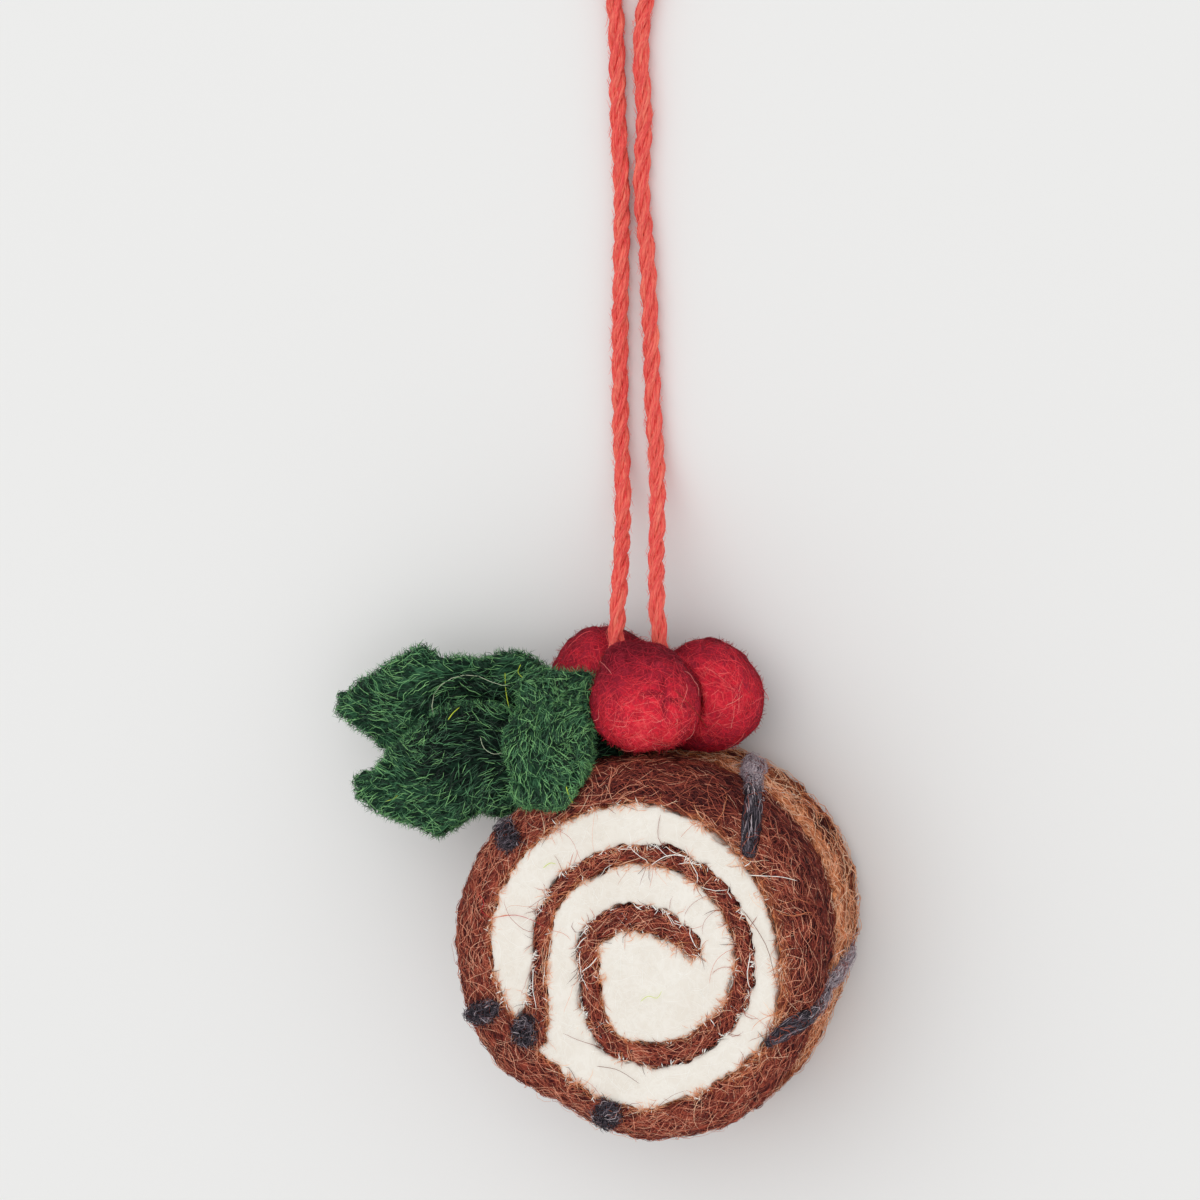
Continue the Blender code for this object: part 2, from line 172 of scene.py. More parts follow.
def draws(name):
    """Random draws of one piece, the same in each run."""
    return np.random.default_rng([settings().seed, *name.encode()])


def only(piece):
    """Select one object and make it active."""
    bpy.ops.object.select_all(action="DESELECT")
    piece.select_set(True)
    bpy.context.view_layer.objects.active = piece


def apply_all(piece):
    """Apply a piece's modifiers in order."""
    only(piece)
    for step in list(piece.modifiers):
        bpy.ops.object.modifier_apply(modifier=step.name)


def new_object(name, data):
    """Object of some data, linked to the scene."""
    made = bpy.data.objects.new(name, data)
    bpy.context.scene.collection.objects.link(made)
    return made


def unit(vectors):
    """Vectors of length one."""
    return vectors / np.maximum(np.linalg.norm(vectors, axis=-1, keepdims=True), 1e-12)


def spline(points, place):
    """Point at a fractional place on a smooth curve through the points."""
    last = len(points) - 1
    k = min(max(int(place), 0), last - 1)
    t = place - k
    a, b, c, d = (points[min(max(k + n, 0), last)] for n in (-1, 0, 1, 2))
    return 0.5 * (2 * b + (c - a) * t + (2 * a - 5 * b + 4 * c - d) * t * t
                  + (3 * b - 3 * c + d - a) * t ** 3)


def sight_axes():
    """Right, up and towards the viewer, as the photograph was taken."""
    right = Vector((math.cos(SIGHT_YAW), 0, -math.sin(SIGHT_YAW)))
    back = Vector((math.sin(SIGHT_YAW) * math.cos(SIGHT_PITCH), math.sin(SIGHT_PITCH),
                   math.cos(SIGHT_YAW) * math.cos(SIGHT_PITCH)))
    return right, back.cross(right), back


def seen(ground, across, down):
    """Point of the felt behind a pixel of the photograph, or the nearest to it."""
    camera = bpy.context.scene.camera.matrix_world
    half = PHOTO_PIXELS / 2
    aim = camera @ Vector(((across - half) * PIXEL, (half - down) * PIXEL, -SIGHT_DISTANCE))
    eye = camera.translation
    point = ground.ray_cast(eye, (aim - eye).normalized())[0]
    return point or ground.find_nearest(aim)[0]


# Node groups

def new_group(name, inputs, outputs):
    """Empty shader node group with named sockets."""
    group = bpy.data.node_groups.new(name, "ShaderNodeTree")
    for label, kind, value in inputs:
        socket = group.interface.new_socket(label, in_out="INPUT", socket_type=kind)
        if value is not None:
            socket.default_value = value
    for label, kind in outputs:
        group.interface.new_socket(label, in_out="OUTPUT", socket_type=kind)
    return group, group.nodes.new("NodeGroupInput"), group.nodes.new("NodeGroupOutput")


def add_node(tree, kind, *inputs, **settings):
    """Shader node with its settings, and inputs given as (name, number or socket)."""
    node = tree.nodes.new("ShaderNode" + kind)
    for name, value in settings.items():
        setattr(node, name, value)
    for name, value in inputs:
        if isinstance(value, bpy.types.NodeSocket):
            tree.links.new(value, node.inputs[name])
        else:
            node.inputs[name].default_value = value
    return node


def math_node(tree, operation, first, second=0.5, clamp=False):
    """Result of a math node whose operands are sockets or numbers."""
    return add_node(tree, "Math", (0, first), (1, second), operation=operation,
                    use_clamp=clamp).outputs[0]


def matted_group():
    """Group that draws curled threads, as lines and as height."""
    made = bpy.data.node_groups.get("matted_wool")
    if made:
        return made
    group, given, result = new_group(
        "matted_wool",
        [("Vector", "NodeSocketVector", None), ("Depth", "NodeSocketFloat", 0.0),
         ("Threads", "NodeSocketFloat", 700.0), ("Fineness", "NodeSocketFloat", 0.045)],
        [("Lines", "NodeSocketFloat"), ("Patches", "NodeSocketFloat"),
         ("Height", "NodeSocketFloat")])
    vector, depth, threads, fineness = (given.outputs[k] for k in range(4))

    def noise(place, size, *inputs):
        return add_node(group, "TexNoise", ("Vector", place), ("W", depth),
                        ("Scale", math_node(group, "MULTIPLY", threads, size)), *inputs,
                        noise_dimensions="4D").outputs["Fac"]
    lines = 0.0
    for shift, size in ((0.0, 1.0), (3.7, 1.6), (8.1, 0.62)):
        moved = add_node(group, "VectorMath", (0, vector), (1, (shift, shift * 0.6, -shift)),
                         operation="ADD").outputs[0]
        drawn = noise(moved, size, ("Detail", 1.5), ("Distortion", 0.7))
        off = math_node(group, "ABSOLUTE", math_node(group, "SUBTRACT", drawn, 0.5))
        line = math_node(group, "SUBTRACT", 1.0, math_node(group, "DIVIDE", off, fineness),
                         clamp=True)
        lines = math_node(group, "MAXIMUM", lines, line)
    patches = noise(vector, 0.35, ("Detail", 3.0))
    height = math_node(group, "ADD", math_node(group, "MULTIPLY", lines, 0.55),
                       math_node(group, "MULTIPLY", patches, 0.7))
    for slot, value in zip(result.inputs, (lines, patches, height)):
        group.links.new(value, slot)
    return group


def ramp_node(tree, value, stops):
    """Colour ramp of (place, colour) stops."""
    node = tree.nodes.new("ShaderNodeValToRGB")
    ramp = node.color_ramp
    while len(ramp.elements) < len(stops):
        ramp.elements.new(0.5)
    for element, (place, colour) in zip(ramp.elements, stops):
        element.position = place
        element.color = (*colour, 1)
    tree.links.new(value, node.inputs["Fac"])
    return node.outputs["Color"]


def stops_from(colour, *steps):
    """Ramp stops from one colour: each has a place and a factor for each channel."""
    return [(place, tuple(min(channel * factor, 1.0) for channel, factor in zip(colour, factors)))
            for place, *factors in steps]


def sponge_stops():
    """Ramps of the red-brown wool and of the ginger wool mixed into it."""
    brown = stops_from(colours().sponge, (0.0, 0.08, 0.09, 0.18), (0.28, 0.39, 0.37, 0.51),
                       (0.5, 1, 1, 1), (0.75, 1.95, 2.9, 2.6), (1.0, 2.5, 6.6, 6.8))
    ginger = stops_from(colours().ginger, (0.0, 0.09, 0.04, 0.08), (0.4, 0.42, 0.31, 0.36),
                        (0.75, 1, 1, 1), (1.0, 1.28, 2.19, 3.73))
    return brown, ginger


def wool_colour(tree, tone, stops, warm_stops=None):
    """Colour by tone, run over stops or, where the wool is warm, over the warm stops."""
    plain = ramp_node(tree, tone, stops)
    if warm_stops is None:
        return plain
    warm = ramp_node(tree, tone, warm_stops)
    return add_node(tree, "Mix", (0, attribute_node(tree, "warmth", "Fac")), (6, plain),
                    (7, warm), data_type="RGBA").outputs[2]


def wool_shader(name, roughness=0.9, gloss=0.08):
    """Material with a plain wool finish, and its tree and shader."""
    made = bpy.data.materials.new(name)
    made.use_nodes = True
    shader = made.node_tree.nodes["Principled BSDF"]
    shader.inputs["Roughness"].default_value = roughness
    shader.inputs["Specular IOR Level"].default_value = gloss
    return made, made.node_tree, shader


def attribute_node(tree, name, output):
    """Output of a node that reads a mesh attribute."""
    return add_node(tree, "Attribute", attribute_name=name).outputs[output]


def felt_material(name, *stops, threads=700.0, fineness=0.05, depth=0.15 * MM, lines=0.4,
                  patches=0.45, gloss=0.08):
    """Felt whose colour runs over stops, by its threads, its patches and its own tone."""
    made, tree, shader = wool_shader(name, gloss=gloss)
    matted = add_node(tree, "Group", ("Vector", attribute_node(tree, "grain", "Vector")),
                      ("Depth", attribute_node(tree, "grain_depth", "Fac")),
                      ("Threads", threads), ("Fineness", fineness), node_tree=matted_group())
    tone = math_node(tree, "ADD", math_node(tree, "MULTIPLY", matted.outputs["Lines"], lines),
                     math_node(tree, "MULTIPLY", matted.outputs["Patches"], patches))
    tone = math_node(tree, "ADD", tone, attribute_node(tree, "tone", "Fac"))
    tree.links.new(wool_colour(tree, tone, *stops), shader.inputs["Base Color"])
    bump = add_node(tree, "Bump", ("Strength", 1.0), ("Distance", depth),
                    ("Height", matted.outputs["Height"]))
    tree.links.new(bump.outputs["Normal"], shader.inputs["Normal"])
    return made


def fibre_material(name, *stops, gloss=0.15):
    """Wool fibres whose colour runs over stops by the fibre's own tone."""
    made, tree, shader = wool_shader(name, roughness=0.55, gloss=gloss)
    tree.links.new(wool_colour(tree, attribute_node(tree, "tone", "Fac"), *stops),
                   shader.inputs["Base Color"])
    return made


# Felt bodies

def soft_copy(node, name, voxel, melt, swell=0.0, reliefs=(), rim_reliefs=()):
    """Felt body in a solid's place: welded, remeshed, softened and made uneven.

    Reliefs are (size, depth) of lumps, and rim reliefs are lumps of the sides alone.
    """
    source = frame["nodes"][node]
    piece = new_object(name, source.data.copy())
    piece.data.materials.clear()
    only(piece)
    bpy.ops.object.mode_set(mode="EDIT")
    bpy.ops.mesh.select_all(action="SELECT")
    bpy.ops.mesh.remove_doubles(threshold=0.01 * MM)
    bpy.ops.object.mode_set(mode="OBJECT")
    remesh = piece.modifiers.new("felt", "REMESH")
    remesh.mode = "VOXEL"
    remesh.voxel_size = voxel
    smooth = piece.modifiers.new("melt", "SMOOTH")
    smooth.factor = 0.5
    smooth.iterations = melt
    if swell:
        grow = piece.modifiers.new("swell", "DISPLACE")
        grow.strength = swell
        grow.mid_level = 0.0
    apply_all(piece)
    if rim_reliefs:
        sides = piece.vertex_groups.new(name="sides")
        steep = 1 - vertices_of(piece)[1][:, 2] ** 2
        for level in range(1, 11):
            picked = np.flatnonzero(np.ceil(steep * 10) == level)
            sides.add(picked.tolist(), level / 10, "REPLACE")
    for number, (size, depth) in enumerate((*reliefs, *rim_reliefs)):
        lumps = bpy.data.textures.new(f"{name}_lumps_{number}", "CLOUDS")
        lumps.noise_scale = size
        lumps.noise_depth = 1
        step = piece.modifiers.new(f"lumps_{number}", "DISPLACE")
        step.texture = lumps
        step.texture_coords = "LOCAL"
        step.strength = depth
        if number >= len(reliefs):
            step.vertex_group = "sides"
    apply_all(piece)
    spots, _ = vertices_of(piece)
    spots[:, 2] = np.maximum(spots[:, 2], LOWEST)
    move_vertices(piece, spots)
    bpy.ops.object.shade_smooth()
    return piece


def vertices_of(piece):
    """Positions and normals of a mesh's vertices."""
    read = []
    for slot in ("co", "normal"):
        values = np.empty(len(piece.data.vertices) * 3)
        piece.data.vertices.foreach_get(slot, values)
        read.append(values.reshape(-1, 3))
    return read


def move_vertices(piece, spots):
    """Put a mesh's vertices at new places."""
    piece.data.vertices.foreach_set("co", spots.ravel())
    piece.data.update()


def store(piece, name, values):
    """Store a number or a vector for each vertex of a mesh."""
    kind, slot = ("FLOAT_VECTOR", "vector") if values.ndim == 2 else ("FLOAT", "value")
    piece.data.attributes.new(name, kind, "POINT").data.foreach_set(slot, values.ravel())


def set_grain(piece, grain, depth=0.0, tone=0.0, warmth=0.0):
    """Store a body's felt coordinates, tone and warmth on its vertices."""
    store(piece, "grain", grain)
    for name, values in (("grain_depth", depth), ("tone", tone), ("warmth", warmth)):
        store(piece, name, values + np.zeros(len(grain)))


def middle_line(spots, run, parts):
    """Functions of points: the middle of a strand of spots beside them, and its way there."""
    place = spots @ run
    marks = np.linspace(place.min(), place.max(), parts + 1)
    at = (marks[1:] + marks[:-1]) / 2
    middles = np.array([spots[(place >= a) & (place <= b)].mean(0)
                        for a, b in zip(marks, marks[1:])])
    ways = np.gradient(middles, axis=0)

    def read(values):
        return lambda points: np.stack([np.interp(points @ run, at, values[:, k])
                                        for k in range(3)], axis=1)
    return read(middles), read(ways)


def combed(spots, run, stretch):
    """Felt coordinates that draw the threads out along one way."""
    run = unit(np.array(run, dtype=float))
    along = (spots @ run)[:, None] * run
    return spots - along * (1 - stretch)


def finish_piece(piece, material, slot, *nodes):
    """Give a piece its material and body, and hide the solids it stands for. The slot is not used.
    """
    if material is not None:
        piece.data.materials.clear()
        piece.data.materials.append(material)
    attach(piece, BODY)
    if nodes:
        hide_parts(*nodes)


def corners_of(piece):
    """Triangle corners of a mesh, and the cross products of the triangles' edges."""
    piece.data.calc_loop_triangles()
    triangles = piece.data.loop_triangles
    picks = np.empty(len(triangles) * 3, int)
    triangles.foreach_get("vertices", picks)
    corners = vertices_of(piece)[0][picks.reshape(-1, 3)]
    return corners, np.cross(corners[:, 1] - corners[:, 0], corners[:, 2] - corners[:, 0])


def scatter(piece, count, rng, weigh=None):
    """Random points of a mesh and their normals, spread by area times a weight."""
    corners, crosses = corners_of(piece)
    areas = np.linalg.norm(crosses, axis=1)
    if weigh is not None:
        areas = areas * weigh(corners.mean(1), unit(crosses))
    picks = rng.choice(len(areas), count, p=areas / areas.sum())
    first, second = np.sqrt(rng.random(count))[:, None], rng.random(count)[:, None]
    chosen = corners[picks]
    points = (chosen[:, 0] * (1 - first) + chosen[:, 1] * first * (1 - second)
              + chosen[:, 2] * first * second)
    return points, unit(crosses[picks])


def ground_of(*pieces):
    """Search tree over the surfaces of some pieces."""
    spots, faces = [], []
    for piece in pieces:
        start = len(spots)
        spots += [v.co.copy() for v in piece.data.vertices]
        faces += [[start + n for n in f.vertices] for f in piece.data.polygons]
    return BVHTree.FromPolygons(spots, faces)


def nearest(ground, points):
    """Nearest surface points, their normals and distances."""
    found = [ground.find_nearest(p) for p in points.tolist()]
    return (np.array([f[0] for f in found]), np.array([f[1] for f in found]),
            np.array([f[3] for f in found]))


def along_surface(vectors, normals):
    """Vectors laid flat in the surface."""
    return unit(vectors - (vectors * normals).sum(1, keepdims=True) * normals)


def turned(vectors, normals, angles):
    """Vectors turned about the normals by angles."""
    angles = angles[:, None]
    return (vectors * np.cos(angles) + np.cross(normals, vectors) * np.sin(angles))


def lay_fibres(ground, starts, normals, ways, lengths, curl, low, arch, lift, rng, steps=6):
    """Paths of fibres that follow a surface, and the surface's normals along them."""
    count = len(starts)
    here, up, way = starts.copy(), normals.copy(), along_surface(ways, normals)
    stride = (lengths / steps)[:, None]
    bend = rng.normal(0, curl, count)
    swing, phase = rng.normal(0, curl, count), rng.random(count) * math.tau
    paths, ups = np.empty((count, steps + 1, 3)), np.empty((count, steps + 1, 3))
    for k in range(steps + 1):
        share = k / steps
        height = low + arch * math.sin(math.pi * share) + lift * share ** 2
        paths[:, k] = here + up * np.asarray(height).reshape(-1, 1)
        ups[:, k] = up
        if k < steps:
            rate = bend + swing * np.sin(phase + share * math.tau)
            way = turned(way, up, rate * stride[:, 0])
            here, up, _ = nearest(ground, here + way * stride)
            way = along_surface(way, up)
    return paths, ups


def spring_fibres(starts, ways, lengths, arch, climb, curl, rng, steps):
    """Paths of fibres that spring level from their starts and end higher or lower."""
    level = unit(ways * (1, 1, 0))
    aside = np.cross((0, 0, 1.0), level)
    bend = rng.normal(0, curl, len(starts)) * lengths / 2
    share = np.linspace(0, 1, steps + 1)[None, :, None]
    run, arch, climb = lengths[:, None, None], arch[:, None, None], climb[:, None, None]
    paths = (starts[:, None] + level[:, None] * run * share
             + aside[:, None] * run * bend[:, None, None] * share ** 2
             + (arch * np.sin(math.pi * share) + climb * share) * (0, 0, 1.0))
    return paths, np.tile((0, 0, 1.0), (len(starts), steps + 1, 1))


def any_way(rng):
    """Ways that point anywhere."""
    return lambda starts, normals: rng.normal(0, 1, starts.shape)


def way_to(ground):
    """Ways towards the nearest point of another felt."""
    return lambda starts, normals: nearest(ground, starts)[0] - starts


def even_tone(rng, low, high):
    """Tones spread evenly between two limits."""
    return lambda starts, normals: rng.uniform(low, high, len(starts))


def varied_tone(rng, middle, spread):
    """Tones that vary about a middle."""
    return lambda starts, normals: rng.normal(middle, spread, len(starts))


# How much thinner or thicker than the setting a fibre may be, and how far it thins to its tip
FIBRE_WIDTHS = (0.7, 1.15)
FIBRE_TAPER = 0.4


def wool(piece, ground, count, rng, way, spread, length, tone, curl, arch, lift=(0.0, 0.0),
         loose=1.0, thick=1.0, steps=4, weigh=None, low=0.0, climb=None):
    """Bundle of fibres on a piece; lengths, arches, lifts and climbs are ranges in millimetres.

    Fibres with a climb spring over an edge, and the others follow the ground. Ways, tones and
    weights are functions of points and normals.
    """
    def draw(limits):
        return rng.uniform(*limits, count) * MM
    starts, normals = scatter(piece, count, rng, weigh)
    ways = turned(along_surface(way(starts, normals), normals), normals,
                  rng.normal(0, spread, count))
    if climb:
        paths, ups = spring_fibres(starts, ways, draw(length), draw(arch), draw(climb), curl, rng,
                                   steps)
    else:
        rise = np.where(rng.random(count) < loose, draw(lift), 0.0)
        paths, ups = lay_fibres(ground, starts, normals, ways, draw(length), curl, low,
                                draw(arch), rise, rng, steps)
    radii = rng.uniform(*FIBRE_WIDTHS, count) * settings().thickness / 2 * thick
    paths[:, :, 2] = np.maximum(paths[:, :, 2], LOWEST + radii.max())
    return paths, ups, radii, np.clip(tone(starts, normals), 0, 1)


def fibre_faces(points):
    """Triangles of one three-sided fibre with pointed ends."""
    rings = points - 2
    faces = [(0, 1 + (a + 1) % 3, 1 + a) for a in range(3)]
    for ring in range(rings - 1):
        for a in range(3):
            low, low_next = 1 + 3 * ring + a, 1 + 3 * ring + (a + 1) % 3
            faces += [(low, low_next, low_next + 3), (low, low_next + 3, low + 3)]
    last = 1 + 3 * (rings - 1)
    faces += [(last + 3, last + a, last + (a + 1) % 3) for a in range(3)]
    return np.array(faces)


def fibre_shapes(paths, ups, radii):
    """Vertices and triangles of fibres along paths."""
    count, points, _ = paths.shape
    runs = unit(np.gradient(paths, axis=1))
    sides = unit(np.cross(runs, ups))
    tops = np.cross(sides, runs)
    share = np.linspace(0, 1, points)[None, 1:-1]
    size = radii[:, None] * (1 - FIBRE_TAPER * share)
    rings = []
    for a in range(3):
        angle = (a + 0.5) * math.tau / 3
        way = tops[:, 1:-1] * math.cos(angle) + sides[:, 1:-1] * math.sin(angle)
        rings.append(paths[:, 1:-1] + way * size[:, :, None])
    rings = np.stack(rings, axis=2).reshape(count, -1, 3)
    spots = np.concatenate([paths[:, :1], rings, paths[:, -1:]], axis=1)
    per = spots.shape[1]
    faces = fibre_faces(points)[None] + (np.arange(count) * per)[:, None, None]
    return spots.reshape(-1, 3), faces.reshape(-1, 3), per


def mesh_from(name, spots, faces, tones, smooth=True):
    """Object of triangles with a tone for each vertex."""
    mesh = bpy.data.meshes.new(name)
    mesh.vertices.add(len(spots))
    mesh.vertices.foreach_set("co", spots.ravel())
    mesh.loops.add(faces.size)
    mesh.loops.foreach_set("vertex_index", faces.ravel())
    mesh.polygons.add(len(faces))
    mesh.polygons.foreach_set("loop_start", np.arange(0, faces.size, 3))
    mesh.update(calc_edges=True)
    if smooth:
        mesh.shade_smooth()
    else:
        mesh.shade_flat()
    piece = new_object(name, mesh)
    store(piece, "tone", tones)
    return piece


def fibre_piece(name, bundles, material, slot, warmth=None):
    """One piece of fibres, made of bundles of (paths, ups, radii, tones)."""
    spots, faces, tones, warm, start = [], [], [], [], 0
    for paths, ups, radii, tone in bundles:
        some, sides, per = fibre_shapes(paths, ups, radii)
        spots.append(some)
        faces.append(sides + start)
        tones.append(np.repeat(tone, per))
        if warmth:
            warm.append(np.repeat(warmth(paths[:, 0]), per))
        start += len(some)
    piece = mesh_from(name, np.concatenate(spots), np.concatenate(faces), np.concatenate(tones),
                      smooth=False)
    if warmth:
        store(piece, "warmth", np.concatenate(warm))
    finish_piece(piece, material, slot)
    return piece


# Camera and cord

class FELT_OT_camera(Operator):
    """Camera that sees the ornament as the photograph does"""
    bl_idname = "felt.camera"
    bl_label = "Camera"

    def execute(self, context):
        right, up, back = sight_axes()
        across = (PHOTO_PIXELS / 2 - FACE_PIXEL[0]) * PIXEL
        above = (FACE_PIXEL[1] - PHOTO_PIXELS / 2) * PIXEL
        target = Vector((0, 0, FACE_HEIGHT)) + right * across + up * above
        data = bpy.data.cameras.new("camera")
        data.sensor_width = 36
        data.lens = data.sensor_width * SIGHT_DISTANCE / (PHOTO_PIXELS * PIXEL)
        data.clip_start, data.clip_end = 0.05, 20
        camera = new_object("camera", data)
        turn = Matrix((right, up, back)).transposed().to_4x4()
        camera.matrix_world = Matrix.Translation(target + back * SIGHT_DISTANCE) @ turn
        context.scene.camera = camera
        return {"FINISHED"}


def cord_frames(samples):
    """Points of the cord's route, with its run, and two ways across that don't twist."""
    last = len(CORD_ROUTE) - 1
    raw = np.array([spline(CORD_ROUTE, last * n / (8 * samples)) for n in range(8 * samples + 1)])
    gone = np.concatenate([[0], np.cumsum(np.linalg.norm(np.diff(raw, axis=0), axis=1))])
    at = np.linspace(0, gone[-1], samples)
    points = np.stack([np.interp(at, gone, raw[:, axis]) for axis in range(3)], axis=1)
    runs = unit(np.gradient(points, axis=0))
    across = np.empty_like(points)
    way = np.array((0.0, 0.0, 1.0))
    for n, run in enumerate(runs):
        way = unit(way - run * way.dot(run))
        across[n] = way
    return points, runs, across, np.cross(runs, across), at


def round_tube(points, across, aside, radius, sides):
    """Vertices and triangles of a closed round tube along points."""
    angles = np.arange(sides) * math.tau / sides
    radius = np.broadcast_to(radius, len(points))[:, None, None]
    ring = (np.cos(angles)[None, :, None] * across[:, None] + np.sin(angles)[None, :, None]
            * aside[:, None]) * radius + points[:, None]
    count = len(points)
    faces = []
    for n in range(count - 1):
        low = n * sides
        for a in range(sides):
            b = (a + 1) % sides
            faces += [(low + a, low + b, low + sides + b), (low + a, low + sides + b,
                                                            low + sides + a)]
    first, last = count * sides, count * sides + 1
    for a in range(sides):
        b = (a + 1) % sides
        faces += [(first, b, a), (last, (count - 1) * sides + a, (count - 1) * sides + b)]
    spots = np.concatenate([ring.reshape(-1, 3), points[:1], points[-1:]])
    return spots, np.array(faces)


class FELT_OT_cord(Operator):
    """Cord twisted from three strands of fine plies, with loose hairs"""
    bl_idname = "felt.cord"
    bl_label = "Cord"

    STRANDS = 3
    PLIES = 5
    LAY = 12.6 * MM
    PLY_LAY = 9.0 * MM
    STRAND_OFFSET = 0.66 * MM
    PLY_OFFSET = 0.35 * MM
    PLY_RADIUS = 0.34 * MM
    # How much the lay and the plies wander along the cord, and over what length
    LAY_SWAY = (0.25, 17 * MM)
    PLY_SWAY = (0.12, 5.3 * MM)
    # How far the felt's threads are drawn out along a ply, and how far each ply's are moved
    PLY_STRETCH = 0.14
    PLY_SHIFT = 7 * MM
    SIDES = 6
    SAMPLES = 420
    HAIRS = 1500
    HAIR_RADIUS = 0.04 * MM

    def execute(self, context):
        points, runs, across, aside, at = cord_frames(self.SAMPLES)
        rng = draws("cord")
        spots, faces, tones, grain, start = [], [], [], [], 0
        for strand in range(self.STRANDS):
            turn = math.tau * (at / self.LAY + strand / self.STRANDS)
            turn = turn + self.LAY_SWAY[0] * np.sin(at / self.LAY_SWAY[1] * math.tau)
            out = across * np.cos(turn)[:, None] + aside * np.sin(turn)[:, None]
            side = np.cross(runs, out)
            middle = points + out * self.STRAND_OFFSET
            for ply in range(self.PLIES):
                spin = math.tau * (ply / self.PLIES - at / self.PLY_LAY)
                way = out * np.cos(spin)[:, None] + side * np.sin(spin)[:, None]
                phase = at / self.PLY_SWAY[1] * math.tau + ply * 2 + strand
                wander = 1 + self.PLY_SWAY[0] * np.sin(phase)
                line = middle + way * self.PLY_OFFSET * wander[:, None]
                some, sides = round_tube(line, out, side, self.PLY_RADIUS, self.SIDES)
                spots.append(some)
                faces.append(sides + start)
                tones.append(np.full(len(some), rng.uniform(0.2, 0.4)))
                grain.append(self.drawn(at, strand * self.PLIES + ply))
                start += len(some)
        piece = mesh_from("hanging_cord_yarn", np.concatenate(spots), np.concatenate(faces),
                          np.concatenate(tones))
        store(piece, "grain", np.concatenate(grain))
        stops = stops_from(colours().cord, (0.0, 0.5, 0.31, 0.34), (0.35, 0.86, 0.68, 0.7),
                           (0.65, 1, 1, 1), (1.0, 1.06, 2.51, 1.88))
        yarn = felt_material("cord_yarn", stops, threads=2400, fineness=0.09, depth=0.1 * MM)
        finish_piece(piece, yarn, "cord_yarn", "hanging_cord")
        hairs = self.hairs(points, runs, across, aside, rng)
        return {"FINISHED"}

    def drawn(self, at, ply):
        """Felt coordinates of one ply, drawn out along it so that its fibres run with it."""
        angles = np.arange(self.SIDES) * math.tau / self.SIDES
        ring = np.stack([np.cos(angles), np.sin(angles), 0 * angles], axis=1) * self.PLY_RADIUS
        along = np.zeros((len(at), 1, 3))
        along[:, 0, 2] = at * self.PLY_STRETCH + ply * self.PLY_SHIFT
        spots = (ring[None] + along).reshape(-1, 3)
        return np.concatenate([spots, along[0], along[-1]])

    def hairs(self, points, runs, across, aside, rng):
        """Fine hairs that lie along the cord and stand off it."""
        count, steps = self.HAIRS, 4
        at = rng.integers(4, len(points) - 4, count)
        turn = rng.random(count) * math.tau
        out = across[at] * np.cos(turn)[:, None] + aside[at] * np.sin(turn)[:, None]
        out[:, 2] = np.abs(out[:, 2])
        run = runs[at] * rng.choice([-1, 1], count)[:, None]
        length = rng.uniform(0.6, 1.8, count)[:, None] * MM
        start = points[at] + out * CORD_DIAMETER * 0.42
        paths = np.stack([start + run * length * k / steps
                          + out * length * 0.45 * (k / steps) ** rng.uniform(1, 2)
                          for k in range(steps + 1)], axis=1)
        paths[:, :, 2] = np.maximum(paths[:, :, 2], 0.1 * MM)
        ups = np.repeat(out[:, None], steps + 1, axis=1)
        stops = stops_from(colours().cord, (0.0, 0.9, 0.9, 0.9), (1.0, 1.06, 2.9, 2.3))
        bundle = (paths, ups, np.full(count, self.HAIR_RADIUS), rng.random(count))
        return fibre_piece("cord_hairs", [bundle], fibre_material("cord_hairs", stops),
                           "cord_yarn")


# The slice

FOLD_HEIGHT = 14.5
WALL_RADIUS = 24 * MM


def radius_of(points):
    """Distance of points from the slice's middle axis."""
    return np.linalg.norm(points[:, :2], axis=1)


def angle_of(points):
    """Angle of points round the slice, in degrees."""
    return np.degrees(np.arctan2(points[:, 1], points[:, 0]))


def window(values, low, high, soft):
    """Share that is 1 between low and high, and falls off softly outside."""
    return np.clip((values - low) / soft + 1, 0, 1) * np.clip((high - values) / soft + 1, 0, 1)


def from_pole(points):
    """Points measured from the middle that the sponge winds round at each of them."""
    return points - np.where((radius_of(points) < RING_RADIUS)[:, None], ARM_POLE[None], 0)


def outer_side(points, toward):
    """Whether a nearby point lies further from the spiral's middle."""
    outward = unit(from_pole(points) * (1, 1, 0))
    return ((toward - points) * outward).sum(1) > 0


def wall_side(points):
    """Whether points lie on the outer wrap, past the spiral's arm."""
    return radius_of(points) > RING_RADIUS


def places_of(points, cream_ground):
    """Angle round the slice, height in millimetres, wall share, and share near the cream."""
    angle, height = angle_of(points), points[:, 2] / MM
    wall = (radius_of(points) > WALL_RADIUS).astype(float)
    close, _, gap = nearest(cream_ground, points)
    reach = (0.7 + 1.6 * window(angle, -45, 60, 10) * wall_side(points)) * MM
    near = np.clip(1 - gap / reach, 0, 1) * window(height, 26, 40, 1.0)
    return angle, height, wall, near, outer_side(points, close)


def hollow_shade(angle, height):
    """Share of the painted shade in the recess on the wall behind the fold."""
    return window(angle, 33, 41, 4) * window(height, 4, 8.5, 1.5)


